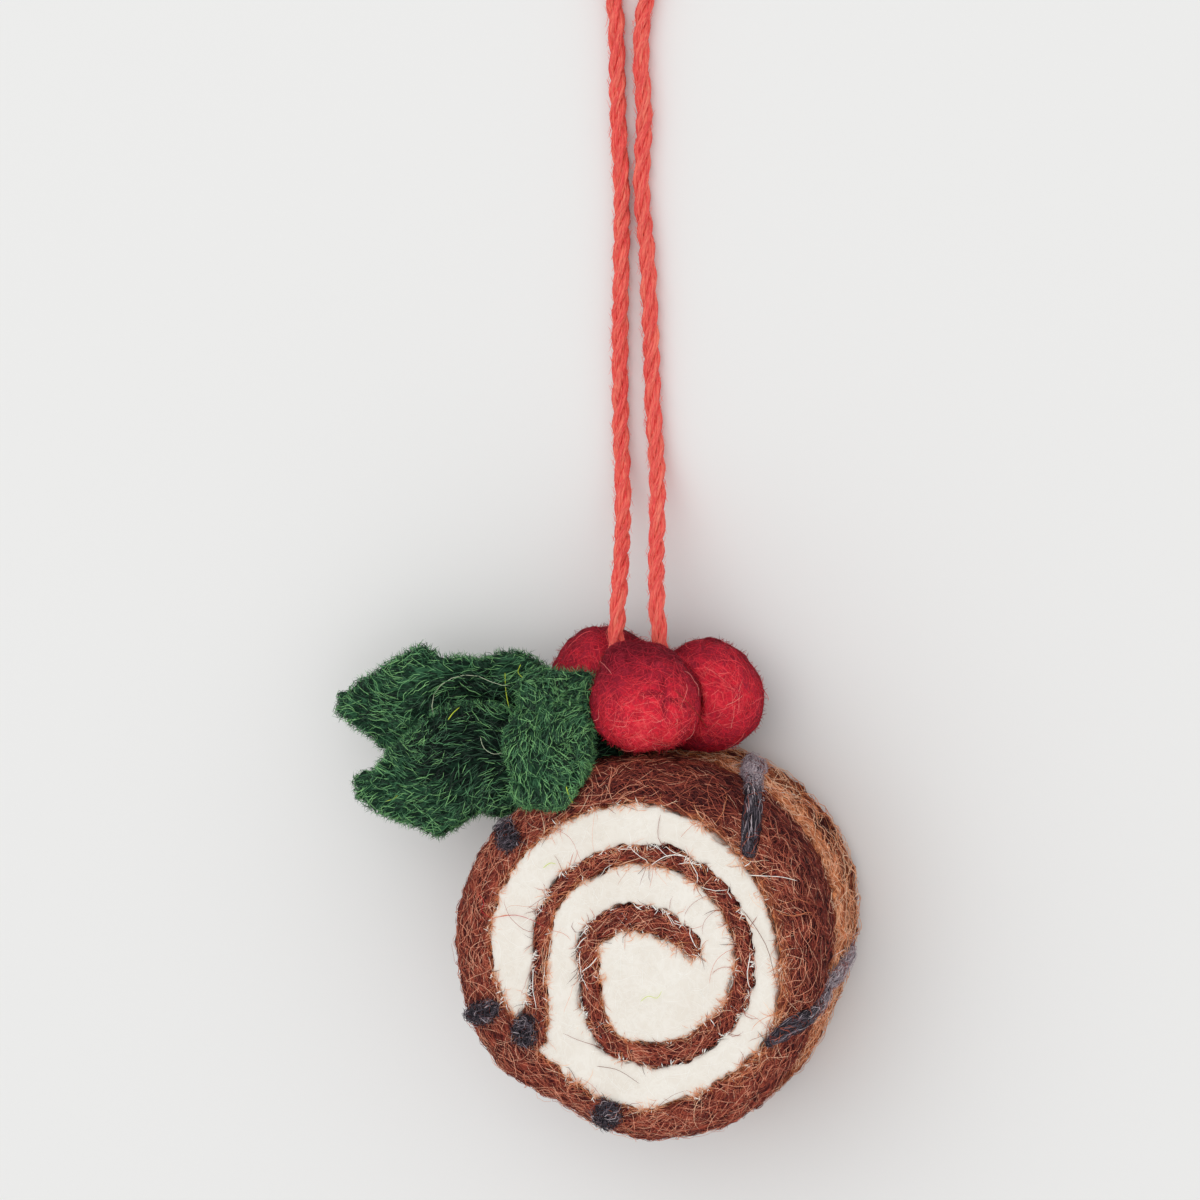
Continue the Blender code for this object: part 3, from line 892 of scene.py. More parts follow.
def sponge_tone(points, cream_ground):
    """Tone of the brown felt: pale bands and edges, darker low on the right wall, and painted
    shade over the fold, in the recess behind it, under the berries and along the arm's outer
    edges.
    """
    angle, height, wall, near, outer = places_of(points, cream_ground)
    right = window(angle, -24, 66, 14)
    tone = 0.06 - 0.15 * window(height, 0, FOLD_HEIGHT - 3.8, 1.2) * right * wall
    tone += 0.42 * window(height, FOLD_HEIGHT - 4.2, FOLD_HEIGHT - 1.6, 1.0) * right * wall
    # Painted shade on the band between the fold and the face
    tone -= 0.13 * window(height, FOLD_HEIGHT, 27, 2.5) * right * wall
    # Painted shade in the recess behind the fold
    tone -= 0.3 * hollow_shade(angle, height) * wall
    # Painted shade at the top of the slice, under the berries
    tone -= 0.16 * window(angle, 60, 118, 15) * wall * window(height, 18, 30, 2)
    # Painted shade along the arm's outer edges, where the cream stands over it; paler ginger wool
    # along its inner edges
    return tone + near * np.where(outer, -0.26, 0.24)


def sponge_warmth(points, cream_ground):
    """Share of ginger wool: behind the fold, low on the wall and along inner edges."""
    angle, height, wall, near, outer = places_of(points, cream_ground)
    warmth = window(height, 0, FOLD_HEIGHT - 0.8, 0.8) * window(angle, -75, 90, 15) * wall
    # Less ginger in the recess behind the fold, so its painted shade stays dark
    warmth = warmth * (1 - 0.8 * hollow_shade(angle, height))
    return np.clip(np.maximum(warmth, near * ~outer * 1.3), 0, 1)


class FELT_OT_slice(Operator):
    """Felted slice: the brown sponge, the cream, and the fibres on both"""
    bl_idname = "felt.slice"
    bl_label = "Slice"

    # Numbers of fibres that the settings leave out
    WALL_CURLS = 430
    LOOSE_HAIRS = 80
    FRINGE = 1200
    ARM_CURLS = 40
    # Share of the usual lift and arch that fibres on the back have, which lies on the floor
    BACK_LIFT = 0.15

    def execute(self, context):
        sponge = soft_copy("sponge_roll", "sponge_felt", 0.49 * MM, 4, 0.18 * MM,
                           [(4.0 * MM, 0.7 * MM), (1.4 * MM, 0.5 * MM)], [(1.8 * MM, 1.2 * MM)])
        cream = soft_copy("cream_filling", "cream_felt", 0.45 * MM, 4, 0.12 * MM,
                          [(4.5 * MM, 0.5 * MM)], [(4.0 * MM, 1.2 * MM), (1.5 * MM, 1.3 * MM)])
        self.cream_ground, self.sponge_ground = ground_of(cream), ground_of(sponge)
        self.both = ground_of(sponge, cream)
        spots, _ = vertices_of(sponge)
        local = from_pole(spots)
        grain = local * (0.4, 0.4, 0)
        grain[:, 2] = radius_of(local)
        set_grain(sponge, grain, spots[:, 2], sponge_tone(spots, self.cream_ground) - 0.2,
                  sponge_warmth(spots, self.cream_ground))
        finish_piece(sponge, felt_material("sponge_felt", *sponge_stops(), threads=750, lines=0.5,
                                           depth=0.3 * MM), "sponge_felt", "sponge_roll")
        set_grain(cream, vertices_of(cream)[0], tone=0.15)
        pale = stops_from(colours().cream, (0.0, 0.82, 0.76, 0.7), (0.5, 1, 1, 1),
                          (1.0, 1.11, 1.15, 1.21))
        finish_piece(cream, felt_material("cream_felt", pale, threads=420, lines=0.1,
                                          patches=0.4, depth=0.04 * MM),
                     "cream_felt", "cream_filling")
        self.sponge_fibres(sponge)
        self.edge_fuzz(cream, sponge)
        self.cream_fibres(cream, sponge, pale)
        return {"FINISHED"}

    def round_way(self, rng):
        """Way that winds round the slice, either way about."""
        def way(starts, normals):
            return np.cross((0, 0, 1.0), from_pole(starts)) * rng.choice([-1, 1],
                                                                       len(starts))[:, None]
        return way

    def sponge_fibres(self, sponge):
        """Matted brown fibres, laid round the slice and along the arm."""
        coat = settings()
        material = self.threads = fibre_material("sponge_fibres", *sponge_stops())
        sides = {
            "face": (coat.slice_count, lambda p, n: (n[:, 2] > 0.4) & (p[:, 2] > 25 * MM)),
            "wall": (coat.wall_count, lambda p, n: (np.abs(n[:, 2]) <= 0.4)
                     & (radius_of(p) > WALL_RADIUS)),
            "back": (coat.back_count, lambda p, n: (n[:, 2] < -0.4) & (p[:, 2] < 3 * MM)),
        }
        for side, (count, weigh) in sides.items():
            rng = draws("sponge_" + side)

            def tone(starts, normals, rng=rng):
                # The fibres take the felt's tone, painted shade included, and vary about it
                drawn = (sponge_tone(starts, self.cream_ground) + 0.45
                         + rng.normal(0, 0.35, len(starts)))
                return np.maximum(drawn, 0.14)

            def paler(starts, normals, tone=tone):
                return np.maximum(tone(starts, normals) + 0.12, 0.4)
            flat = self.BACK_LIFT if side == "back" else 1.0
            bundles = [
                wool(sponge, self.both, count, rng, self.round_way(rng), 0.45, (1.6, 4.4), tone,
                     curl=240, lift=(0.1 * flat, 0.55 * flat), arch=(0.02 * flat, 0.25 * flat),
                     loose=0.35, weigh=weigh, thick=0.9),
                wool(sponge, self.both, count // 14, rng, self.round_way(rng), 0.5, (3.0, 8.0),
                     paler, curl=230, lift=(0.1 * flat, 0.6 * flat),
                     arch=(0.1 * flat, 0.6 * flat), loose=0.6, weigh=weigh, thick=0.85,
                     steps=8)]
            if side == "face":
                bundles.append(self.loose_hairs(sponge))
            if side == "wall":
                bundles.append(self.wall_curls(sponge))
            fibre_piece(f"sponge_fibres_{side}", bundles, material, "sponge_felt", self.warmth)

    def warmth(self, points):
        """Share of ginger wool at points of the sponge."""
        return sponge_warmth(points, self.cream_ground)

    def wall_curls(self, sponge):
        """Long ginger curls over the wall behind the fold."""
        rng = draws("wall_curls")

        def behind(points, normals):
            return ((radius_of(points) > WALL_RADIUS)
                    * window(points[:, 2] / MM, 2, FOLD_HEIGHT - 1, 0.5)
                    * window(angle_of(points), -30, 85, 8))
        return wool(sponge, self.both, self.WALL_CURLS, rng, self.round_way(rng), 0.9, (3.0, 9.0),
                    even_tone(rng, 0.7, 1.0), curl=270, lift=(0.1, 0.6), arch=(0.1, 0.6),
                    steps=9, weigh=behind, thick=1.1, low=0.1 * MM)

    def edge_weight(self, ground, outer, inner, reach):
        """Weight of face points beside the other felt, on the arm's outer or inner side.

        The ground is the other felt. The arm's outer side is where its sponge lies further in
        than the cream.
        """
        def weigh(points, normals):
            close, _, gap = nearest(ground, points)
            on_edge = (normals[:, 2] > 0.5) & (points[:, 2] > 26 * MM) & (gap < reach)
            on_outer = outer_side(points, close) == (ground is self.cream_ground)
            return on_edge * np.where(on_outer, outer, inner) * np.exp(-2.2 * gap / reach)
        return weigh

    def edge_fuzz(self, cream, sponge):
        """Short fibres that reach from the sponge over the cream's edge."""
        rng, count = draws("edge_fuzz"), settings().edge_count // 2
        bundles = [
            wool(cream, self.both, count, rng, way_to(self.sponge_ground), 0.8, (0.7, 1.9),
                 varied_tone(rng, 0.82, 0.1), curl=450, lift=(0.1, 0.5), arch=(0.05, 0.3),
                 steps=3, thick=0.7,
                 weigh=self.edge_weight(self.sponge_ground, 0.0, 1.0, 1.4 * MM)),
            wool(sponge, self.both, count, rng, way_to(self.cream_ground), 0.7, (0.8, 1.9),
                 varied_tone(rng, 0.78, 0.12), curl=500, arch=(0.0, 0.3), climb=(0.5, 1.1),
                 steps=3, thick=0.7,
                 weigh=self.edge_weight(self.cream_ground, 0.0, 1.0, 0.35 * MM))]
        fibre_piece("sponge_fibres_edge", bundles, self.threads, "sponge_felt",
                    lambda points: np.ones(len(points)))

    def loose_hairs(self, sponge):
        """A few long thin hairs that wander over the whole face."""
        rng = draws("loose_hairs")

        def top(points, normals):
            return (normals[:, 2] > 0.4) & (points[:, 2] > 26 * MM)
        return wool(sponge, self.both, self.LOOSE_HAIRS, rng, any_way(rng), 1.0, (5.0, 14.0),
                    even_tone(rng, 0.5, 1.0), curl=190, lift=(0.1, 0.8), arch=(0.2, 0.8),
                    steps=14, thick=0.7, low=0.2 * MM, weigh=top)

    def cream_fibres(self, cream, sponge, stops):
        """Pale fibres on the cream, a fringe over the arm's edge and long curls on the arm."""
        rng = draws("cream")

        def top(points, normals):
            return (normals[:, 2] > 0.3) & (points[:, 2] > 27 * MM)

        def arm(points, normals):
            return (self.edge_weight(self.cream_ground, 1.0, 0.06, 0.8 * MM)(points, normals)
                    * ~wall_side(points) * np.where(points[:, 1] > -4 * MM, 1, 0.2))
        bundles = [
            wool(cream, self.both, settings().cream_count, rng, any_way(rng), 1.0, (1.5, 5.0),
                 even_tone(rng, 0.6, 1), curl=260, arch=(0.0, 0.05), thick=0.5, steps=5,
                 weigh=top),
            wool(cream, self.both, self.FRINGE, rng, way_to(self.sponge_ground), 0.6, (0.6, 1.4),
                 even_tone(rng, 0.5, 1), curl=600, arch=(0.1, 0.45), climb=(-0.6, 0.2),
                 thick=1.4, steps=3,
                 weigh=self.edge_weight(self.sponge_ground, 1.0, 0.2, 0.45 * MM)),
            wool(sponge, self.both, self.ARM_CURLS, rng, self.round_way(rng), 0.25, (3.0, 7.0),
                 even_tone(rng, 0.7, 1), curl=170, lift=(0.1, 0.4), arch=(0.2, 0.5), steps=9,
                 low=0.2 * MM, thick=1.4, weigh=arm)]
        fibre_piece("cream_fibres", bundles, fibre_material("cream_fibres", stops), "cream_felt")


# Berries and leaves

class FELT_OT_berries(Operator):
    """Red felt balls with wound fibres"""
    bl_idname = "felt.berries"
    bl_label = "Berries"

    # Berries: the side with painted light, as right, up and towards the viewer, and the base tone
    BALLS = {
        "berry_front": ((0.08, -0.5, 0.86), 0.02),
        "berry_right": ((0.1, -0.1, 0.98), -0.02),
        "berry_rear": ((-0.3, 0.2, 0.9), -0.2),
    }
    # Bulges of the front berry: way out, width in radians and height
    BULGES = [((-0.5, 0.8, 0.2), 0.42, 1.6 * MM), ((0.3, 0.9, 0.2), 0.3, 0.3 * MM),
              ((0.0, -1.0, 0.1), 0.6, -0.6 * MM), ((0.9, 0.2, 0.2), 0.4, -0.4 * MM)]
    # Creases pressed into the front berry, by pixels of the photograph
    CREASES = [[(663, 680), (664, 692), (664, 704), (666, 716)],
               [(641, 694), (651, 693), (662, 694)],
               [(667, 700), (676, 701), (686, 705)], [(585, 668), (586, 676), (588, 684)]]
    CREASE_DEPTH = 0.32 * MM
    CREASE_WIDTH = 0.4 * MM
    PALE_HAIRS = 24

    def execute(self, context):
        self.sight = np.array([list(axis) for axis in sight_axes()])
        stops = stops_from(colours().berry, (0.0, 0.16, 0.16, 0.24), (0.3, 0.47, 0.8, 0.8),
                           (0.55, 1, 1, 1), (0.8, 1.24, 5.03, 2.65), (1.0, 1.33, 20.2, 8.08))
        material = felt_material("berry_felt", stops, threads=900, depth=0.16 * MM,
                                 lines=0.16, patches=0.42, gloss=0.12)
        bundles = []
        for node, (painted_light_way, tint) in self.BALLS.items():
            ball = soft_copy(node, node + "_felt", 0.36 * MM, 3, -0.05 * MM,
                             [(3.2 * MM, 0.9 * MM), (1.1 * MM, 0.35 * MM)])
            spots, normals = vertices_of(ball)
            self.middle, self.tint = spots.mean(0), tint
            self.painted_light_way = unit(np.array(painted_light_way) @ self.sight)
            dark = np.zeros(len(spots))
            if node == "berry_front":
                spots, dark = self.press(ball, spots, normals)
            # Painted shade darkens the front berry's pressed creases
            set_grain(ball, spots, 0.0, self.tone(spots) - 0.06 - 0.2 * dark)
            finish_piece(ball, material, "berry_felt", node)
            bundles += self.fibres(ball, draws(node))
        fibre_piece("berry_fibres", bundles, fibre_material("berry_fibres", stops), "berry_felt")
        return {"FINISHED"}

    def tone(self, points):
        """Tone of a ball: painted light towards one side and painted shade round its edge."""
        facing = (unit(points - self.middle) * self.painted_light_way).sum(1)
        # Painted light towards one side, painted shade round the edge
        return self.tint + 0.3 * np.clip((facing - 0.4) / 0.6, -0.8, 1)

    def press(self, ball, spots, normals):
        """Bulge the ball and press its creases in; returns new places and the creases' share."""
        out = unit(spots - self.middle)
        for way, width, height in self.BULGES:
            off = np.arccos(np.clip(out @ unit(np.array(way) @ self.sight), -1, 1))
            spots = spots + out * (height * np.exp(-(off / width) ** 2))[:, None]
        ground, dark = ground_of(ball), np.zeros(len(spots))
        for pixels in self.CREASES:
            marks = [seen(ground, *pixel) for pixel in pixels]
            line = np.array([spline(marks, (len(marks) - 1) * k / 20) for k in range(21)])
            off = np.linalg.norm(spots[:, None] - line[None], axis=2).min(1)
            dark = np.maximum(dark, np.exp(-(off / self.CREASE_WIDTH) ** 2))
        spots = spots - normals * (self.CREASE_DEPTH * dark)[:, None]
        move_vertices(ball, spots)
        return spots, dark

    def fibres(self, ball, rng):
        """Matted, wound and loose fibres of one ball."""
        count, ground = settings().berry_count, ground_of(ball)

        def wound(starts, normals):
            return np.cross(self.painted_light_way, starts - self.middle)

        def tone(starts, normals):
            # The fibres take the ball's painted light and shade
            return 0.47 + self.tone(starts) + rng.normal(0, 0.08, len(starts))
        return [
            wool(ball, ground, count, rng, any_way(rng), 1.0, (1.2, 3.5), tone, curl=240,
                 lift=(0.1, 0.3), arch=(0.0, 0.06), loose=0.2, thick=0.75),
            wool(ball, ground, count // 3, rng, wound, 0.5, (4.0, 9.0), tone, curl=100,
                 arch=(0.02, 0.12), thick=0.7, steps=6),
            wool(ball, ground, count * 3 // 5, rng, any_way(rng), 1.0, (0.4, 1.1), tone, curl=300,
                 lift=(0.35, 1.0), arch=(0.0, 0.15), thick=0.75, steps=3),
            wool(ball, ground, self.PALE_HAIRS, rng, any_way(rng), 1.0, (2.0, 6.0),
                 even_tone(rng, 0.65, 0.95), curl=220, lift=(0.2, 1.0), arch=(0.2, 0.6),
                 steps=8, thick=0.8, low=0.1 * MM)]


class FELT_OT_leaves(Operator):
    """Holly leaves of green felt with bristling fibres"""
    bl_idname = "felt.leaves"
    bl_label = "Leaves"

    # Painted shade in the valleys, each with its reach: where the outer leaves meet, and at their
    # root
    SHADED_VALLEYS = (((-29.0, 30.5), 9.0), ((-9.0, 31.0), 6.0))
    # How far the lower leaf's root reaches on under the berry, and where on X, in millimetres,
    # that starts and is complete
    ROOT_REACH = (2.8 * MM, -1.0 * MM, 0.0)
    ROOT_SPAN = (-16, -9)
    # Painted light that makes the front leaf brighter
    FRONT_LIGHT = 0.06

    def execute(self, context):
        stops = stops_from(colours().holly, (0.0, 0.07, 0.06, 0.09), (0.3, 0.31, 0.33, 0.36),
                           (0.52, 1, 1, 1), (0.72, 2.2, 2.1, 1.75), (0.92, 5.2, 3.7, 2.8),
                           (1.0, 12.04, 4.78, 1.16))
        material = felt_material("holly_felt", stops, threads=800, depth=0.4 * MM, lines=0.35,
                                 patches=0.35)
        threads = fibre_material("holly_fibres", stops, gloss=0.3)
        for node, run in LEAVES.items():
            leaf = soft_copy(node, node + "_felt", 0.36 * MM, 3, -0.1 * MM,
                             [(3.2 * MM, 1.0 * MM), (1.0 * MM, 0.7 * MM)])
            spots, _ = vertices_of(leaf)
            if node == "leaf_lower":
                start, end = self.ROOT_SPAN
                rooted = np.clip((spots[:, 0] / MM - start) / (end - start), 0, 1)[:, None]
                spots = spots + rooted * np.array(self.ROOT_REACH)
                move_vertices(leaf, spots)
            self.front = node == "leaf_front"
            self.face = np.linalg.svd(spots - spots.mean(0), full_matrices=False)[2][2]
            set_grain(leaf, combed(spots, run, 0.35), tone=self.shading(spots) - 0.12)
            finish_piece(leaf, material, "holly_felt", node)
            fibre_piece(node + "_fibres", self.fibres(leaf, draws(node), run), threads,
                        "holly_felt")
        return {"FINISHED"}

    def shading(self, points):
        """Tone of a leaf: painted shade in the valleys, painted light on the front leaf."""
        if self.front:
            return np.full(len(points), self.FRONT_LIGHT)
        depth = np.zeros(len(points))
        for middle, reach in self.SHADED_VALLEYS:
            off = np.linalg.norm(points[:, :2] / MM - middle, axis=1)
            depth = np.maximum(depth, np.clip(1.4 - off / reach, 0, 1))
        # Painted shade in the valleys
        return 0.07 - 0.26 * depth

    def fibres(self, leaf, rng, run):
        """Bristles of one leaf: matted, brushed along it, and out from its edge."""
        count, ground = settings().leaf_count, ground_of(leaf)

        def along(starts, normals):
            across, up = starts[:, 0] / MM, starts[:, 1] / MM
            sway = 0.6 * np.sin(across / 3.1 + up / 5.2) + 0.5 * np.sin(up / 2.3 - across / 6.7)
            return turned(along_surface(np.tile(run, (len(starts), 1)), normals), normals, sway)

        def tone(starts, normals):
            # The bristles take the leaf's painted light and shade
            drawn = 0.47 + self.shading(starts) + rng.normal(0, 0.36, len(starts))
            return np.where(rng.random(len(starts)) < 0.001, 1.0, np.minimum(drawn, 0.9))

        def edge_tone(starts, normals):
            return np.minimum(0.6 + rng.normal(0, 0.2, len(starts)), 0.9)

        def edge(points, normals):
            return np.abs(normals @ self.face) < 0.7
        return [
            wool(leaf, ground, count, rng, along, 0.4, (1.2, 3.2), tone, curl=130,
                 lift=(0.3, 1.1), arch=(0.0, 0.1), steps=4, thick=1.2),
            wool(leaf, ground, count // 8, rng, along, 0.35, (2.5, 5.5), tone, curl=160,
                 lift=(0.1, 0.8), arch=(0.1, 0.5), steps=6, thick=1.2),
            wool(leaf, ground, count // 2, rng, any_way(rng), 1.0, (0.4, 1.3), edge_tone, curl=160,
                 lift=(0.7, 1.5), arch=(0.0, 0.05), steps=3, weigh=edge, thick=1.2)]


class FELT_OT_bark(Operator):
    """Tufts and strands of combed slate wool"""
    bl_idname = "felt.bark"
    bl_label = "Bark"

    # Strands with a pale end: the place of the dark end, and how much paler the other is
    PALE_ENDS = {"bark_top": ((18.5, 16.5, 29.0), 0.4), "bark_right": ((18.5, -12.0, 28.5), 0.35)}
    # Small tufts, dark all over and more lumpy than the strands by a factor
    DARK_TUFTS = ("bark_left_upper", "bark_left", "bark_tail", "bark_bottom")
    TUFT_LUMPS = 2.6
    # How far the felt's threads are drawn out along a tuft
    STRETCH = 0.08
    # Combed fibres of a tuft, at least and for each millimetre, those that fray from a small
    # tuft and veil a pale end, and the slice's own that cross it for each millimetre
    COMBED = (110, 44)
    FRAYED = 260
    VEIL = 300
    CROSSING = 5

    def execute(self, context):
        stops = stops_from(colours().bark, (0.0, 0.2, 0.2, 0.2), (0.4, 1, 1, 1),
                           (0.7, 4.8, 4.5, 4.2), (1.0, 16.9, 17.2, 14.0))
        material = felt_material("bark_wool", stops, threads=1500, depth=0.3 * MM,
                                 lines=0.5, patches=0.4)
        felt = [bpy.data.objects[name] for name in ("sponge_felt", "cream_felt")]
        self.felt_ground = ground_of(*felt)
        bundles, over = [], []
        for node in (*self.PALE_ENDS, *self.DARK_TUFTS):
            dark_end, gain = self.PALE_ENDS.get(node, ((0.0, 0.0, 0.0), 0.0))
            lumpy = 1.0 if gain else self.TUFT_LUMPS
            tuft = soft_copy(node, node + "_wool", 0.2 * MM, 2, 0.12 * MM / lumpy,
                             [(0.9 * MM, 0.3 * MM * lumpy), (0.4 * MM, 0.12 * MM * lumpy)])
            spots, _ = vertices_of(tuft)
            run = np.linalg.svd(spots - spots.mean(0), full_matrices=False)[2][0]
            span = np.ptp((spots - spots.mean(0)) @ run) / MM

            def paler(points, dark_end=dark_end, gain=gain, span=span):
                off = np.linalg.norm(points / MM - dark_end, axis=1) / span
                return gain * np.clip(2.4 * (off - 0.28), 0, 1)
            middle, way = middle_line(spots, run, 9 if gain else 3)
            set_grain(tuft, spots - middle(spots) + (spots @ run)[:, None] * run * self.STRETCH,
                      tone=paler(spots) - 0.12)
            finish_piece(tuft, material, "bark_wool", node)
            rng, ground = draws(node), ground_of(tuft, *felt)
            bundles += self.fibres(tuft, ground, rng, way, span, paler, gain)
            over.append(self.overlap(tuft, ground, rng, run, span))
        fibre_piece("bark_fibres", bundles, fibre_material("bark_fibres", stops), "bark_wool")
        fibre_piece("sponge_fibres_bark", over, bpy.data.materials["sponge_fibres"],
                    "sponge_felt")
        return {"FINISHED"}

    def shown(self, points, normals):
        """Weight of a tuft's points that stand clear of the slice."""
        return nearest(self.felt_ground, points)[2] > 0.1 * MM

    def fibres(self, tuft, ground, rng, way, span, paler, gain):
        """Fibres combed along one tuft and frayed past it, and a pale veil on a pale end."""
        def along(starts, normals):
            return way(starts) * rng.choice([-1, 1], len(starts))[:, None]

        def tone(starts, normals):
            return 0.38 + paler(starts) + rng.normal(0, 0.24, len(starts))

        def pale_end(points, normals):
            return self.shown(points, normals) * np.clip(paler(points) - 0.2 * gain, 0, 1)
        longest = min(max(span * 0.4, 1.6), 4.2)
        least, more = self.COMBED
        bundles = [
            wool(tuft, ground, int(least + more * span), rng, along, 0.1, (longest / 3, longest),
                 tone, curl=50, lift=(0.05, 0.35), arch=(0.0, 0.2), loose=0.3, steps=5,
                 weigh=self.shown)]
        if not gain:
            bundles.append(wool(tuft, ground, self.FRAYED, rng, along, 1.4, (0.8, 2.8), tone,
                                curl=350, lift=(0.3, 1.4), arch=(0.1, 0.6), thick=1.2,
                                weigh=self.shown))
        else:
            bundles.append(wool(tuft, ground, self.VEIL, rng, along, 0.35, (1.5, 5.5),
                                even_tone(rng, 0.7, 1.0), curl=100, lift=(0.1, 0.7),
                                arch=(0.1, 0.5), steps=5, thick=0.8, weigh=pale_end))
        return bundles

    def overlap(self, tuft, ground, rng, run, span):
        """Brown fibres of the slice that cross over a tuft and hold it."""
        def across(starts, normals):
            return np.cross(normals, run)
        return wool(tuft, ground, int(self.CROSSING * span), rng, across, 0.7, (1.2, 3.5),
                    even_tone(rng, 0.25, 0.75), curl=250, lift=(0.0, 0.4), arch=(0.05, 0.3),
                    steps=5, thick=0.8, weigh=self.shown)


# Single hairs that lie across the felt, each with its place on the stops, its width in
# millimetres and the pixels of the photograph that it crosses
STRAY_STOPS = [(0.0, paint(250, 244, 236)), (0.3, paint(122, 66, 44)), (0.6, paint(196, 40, 52)),
               (0.8, paint(206, 226, 70)), (1.0, paint(196, 206, 176))]
STRAYS = {
    "white_straight": (0.0, 0.15, [(748, 875), (765, 876), (782, 877), (798, 881)]),
    "brown_over_cream": (0.3, 0.11, [(741, 908), (756, 928), (768, 950), (775, 978), (783, 1004)]),
    "berry_long": (0.3, 0.09, [(672, 687), (690, 705), (706, 726), (716, 750), (722, 776)]),
    "berry_left": (0.3, 0.1, [(604, 650), (594, 680), (590, 710), (602, 738), (624, 754)]),
    "red_left": (0.6, 0.12, [(478, 893), (484, 902), (482, 912), (496, 920)]),
    "red_in_cream": (0.6, 0.1, [(497, 917), (515, 915), (532, 920), (547, 928)]),
    "green_fleck": (0.8, 0.12, [(543, 868), (550, 863), (556, 864)]),
    "core_fleck": (0.8, 0.1, [(640, 1002), (648, 996), (657, 998), (662, 990)]),
    "leaf_arc": (1.0, 0.13, [(434, 718), (432, 700), (441, 685), (458, 676), (478, 676),
                             (496, 684), (512, 686)]),
    "leaf_bright": (0.8, 0.16, [(448, 720), (453, 713), (460, 707)]),
    "leaf_edge": (0.8, 0.15, [(505, 672), (506, 692), (510, 712)]),
    "leaf_hook": (0.8, 0.13, [(521, 664), (518, 672), (523, 678)]),
    "leaf_pale_curl": (1.0, 0.12, [(480, 736), (484, 748), (494, 754), (506, 752)]),
    "leaf_foot": (0.8, 0.15, [(566, 786), (569, 796), (573, 803)]),
    "arm_tip": (0.3, 0.12, [(690, 948), (699, 956), (706, 962)]),
    "wall_curl_high": (0.0, 0.1, [(776, 792), (792, 794), (806, 800), (818, 812)]),
    "wall_curl_low": (0.0, 0.1, [(842, 936), (850, 944), (858, 956)]),
    "face_brown_low": (0.3, 0.1, [(596, 1066), (618, 1070), (640, 1084)]),
}


class FELT_OT_strays(Operator):
    """Single long hairs that lie across the felt"""
    bl_idname = "felt.strays"
    bl_label = "Strays"

    STEPS = 9
    # Height of a hair over the felt, and how much more it may be, in millimetres
    LIFT = (0.35, 0.25)

    def execute(self, context):
        pieces = [o for o in context.scene.objects if o.name.endswith(("_felt", "_wool"))]
        ground = ground_of(*pieces)
        bundles = []
        for name, (tone, width, pixels) in STRAYS.items():
            rng = draws(name)
            spots = [seen(ground, *pixel) for pixel in pixels]
            last = len(spots) - 1
            path = np.array([spline(spots, last * k / self.STEPS)
                             for k in range(self.STEPS + 1)])
            back = np.array(sight_axes()[2])
            lift = (self.LIFT[0] + self.LIFT[1] * rng.random(self.STEPS + 1)) * MM
            path = path + back * lift[:, None]
            ups = np.tile(back, (self.STEPS + 1, 1))
            bundles.append((path[None], ups[None], np.array([width * MM / 2]),
                            np.array([tone])))
        fibre_piece("stray_hairs", bundles, fibre_material("stray_hairs", STRAY_STOPS),
                    "sponge_felt")
        return {"FINISHED"}


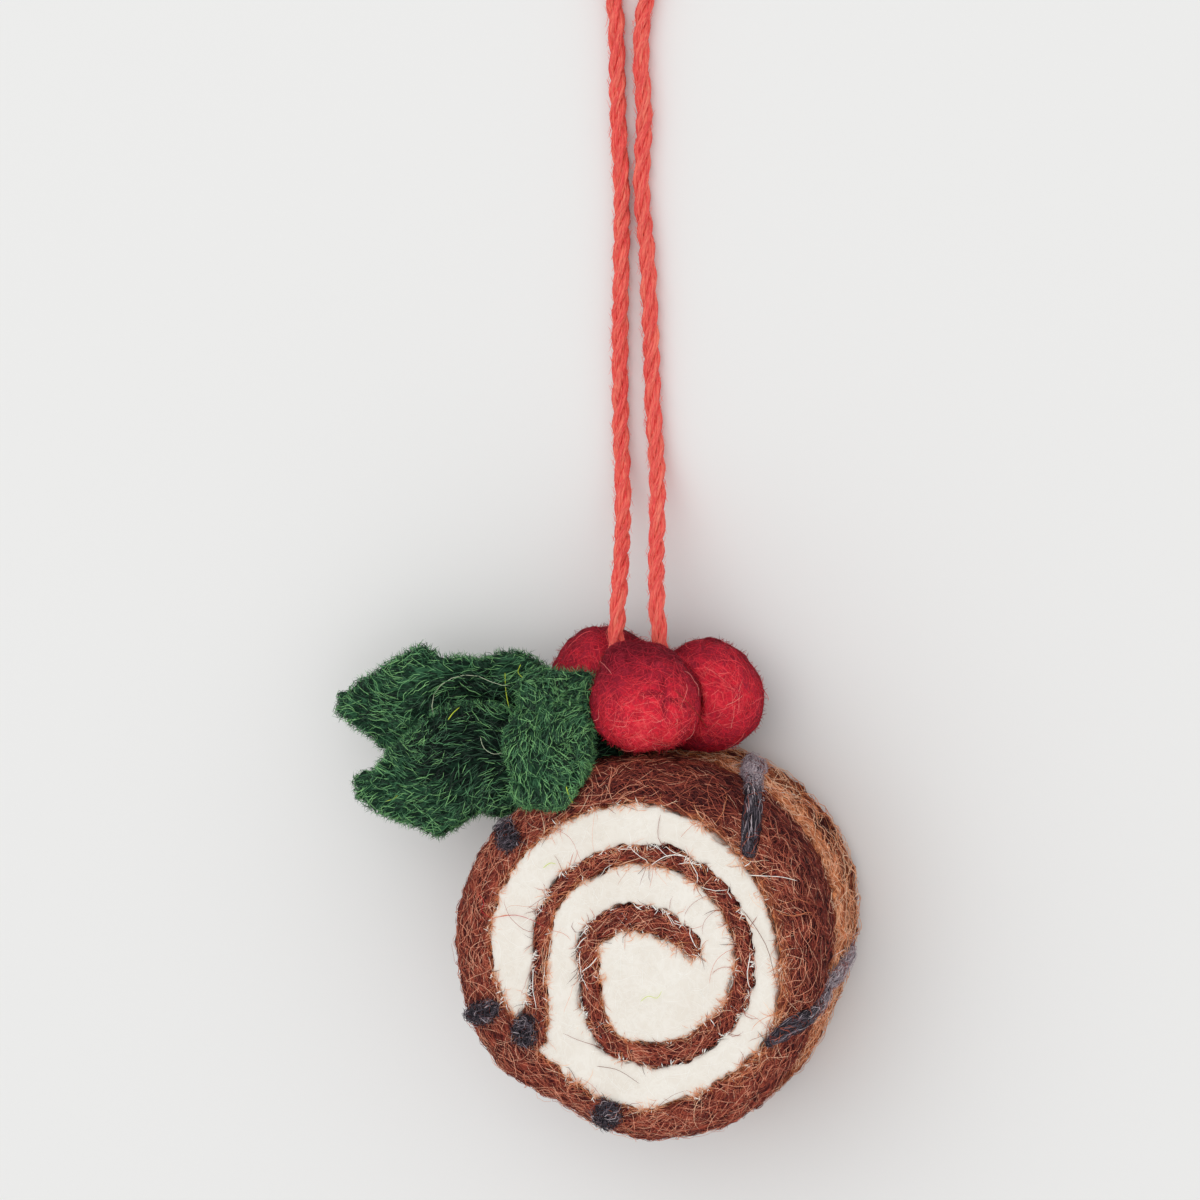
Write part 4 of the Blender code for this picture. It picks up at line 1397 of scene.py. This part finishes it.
class FELT_OT_stage(Operator):
    """Plain pale floor and soft studio light"""
    bl_idname = "felt.stage"
    bl_label = "Stage"

    FLOOR_SIZE = 8.0
    WORLD_STRENGTH = 0.8
    LAMP_SIZE = 1.4
    LAMPS = {"key": ((-0.35, 0.4, 1.0), 2.8), "fill": ((0.8, -0.3, 0.9), 1.5)}

    def execute(self, context):
        bpy.ops.object.select_all(action="DESELECT")
        bpy.ops.mesh.primitive_plane_add(size=self.FLOOR_SIZE, location=(0, 0, -0.02 * MM))
        floor = context.object
        floor.name = "floor"
        made, _, shader = wool_shader("floor", roughness=0.95, gloss=0.0)
        shader.inputs["Base Color"].default_value = (*paint(238, 238, 237), 1)
        floor.data.materials.append(made)
        world = bpy.data.worlds.new("studio")
        world.use_nodes = True
        backdrop = world.node_tree.nodes["Background"]
        backdrop.inputs["Color"].default_value = (1, 1, 1, 1)
        backdrop.inputs["Strength"].default_value = self.WORLD_STRENGTH
        context.scene.world = world
        for name, (place, power) in self.LAMPS.items():
            data = bpy.data.lights.new(name, "AREA")
            data.size = self.LAMP_SIZE
            data.energy = power
            lamp = new_object(name, data)
            lamp.location = place
            lamp.rotation_mode = "QUATERNION"
            lamp.rotation_quaternion = Vector(place).to_track_quat("Z", "Y")
        context.scene.view_settings.view_transform = "Standard"
        return {"FINISHED"}


class FELT_PT_ornament(Panel):
    """Sidebar panel that lists the steps"""
    bl_label = "Felt ornament"
    bl_space_type = "VIEW_3D"
    bl_region_type = "UI"
    bl_category = "Felt ornament"

    def draw(self, context):
        for group in (context.scene.felt_fibres, context.scene.felt_colours):
            for name in group.__annotations__:
                self.layout.prop(group, name)
        for step in STEPS:
            self.layout.operator(step.bl_idname)


STEPS = (FELT_OT_camera, FELT_OT_cord, FELT_OT_slice, FELT_OT_berries, FELT_OT_leaves,
         FELT_OT_bark, FELT_OT_strays, FELT_OT_stage)
CLASSES = (FibreSettings, WoolColours, *STEPS, FELT_PT_ornament)


def register():
    """Register the classes and the scene's settings."""
    for made in CLASSES:
        bpy.utils.register_class(made)
    bpy.types.Scene.felt_fibres = PointerProperty(type=FibreSettings)
    bpy.types.Scene.felt_colours = PointerProperty(type=WoolColours)


def unregister():
    """Remove the settings and the classes."""
    del bpy.types.Scene.felt_colours
    del bpy.types.Scene.felt_fibres
    for made in reversed(CLASSES):
        bpy.utils.unregister_class(made)


def main():
    """Build every piece in order."""
    register()
    bpy.ops.felt.camera()
    bpy.ops.felt.cord()
    bpy.ops.felt.slice()
    bpy.ops.felt.berries()
    bpy.ops.felt.leaves()
    bpy.ops.felt.bark()
    bpy.ops.felt.strays()
    bpy.ops.felt.stage()


if __name__ == "__main__":
    main()
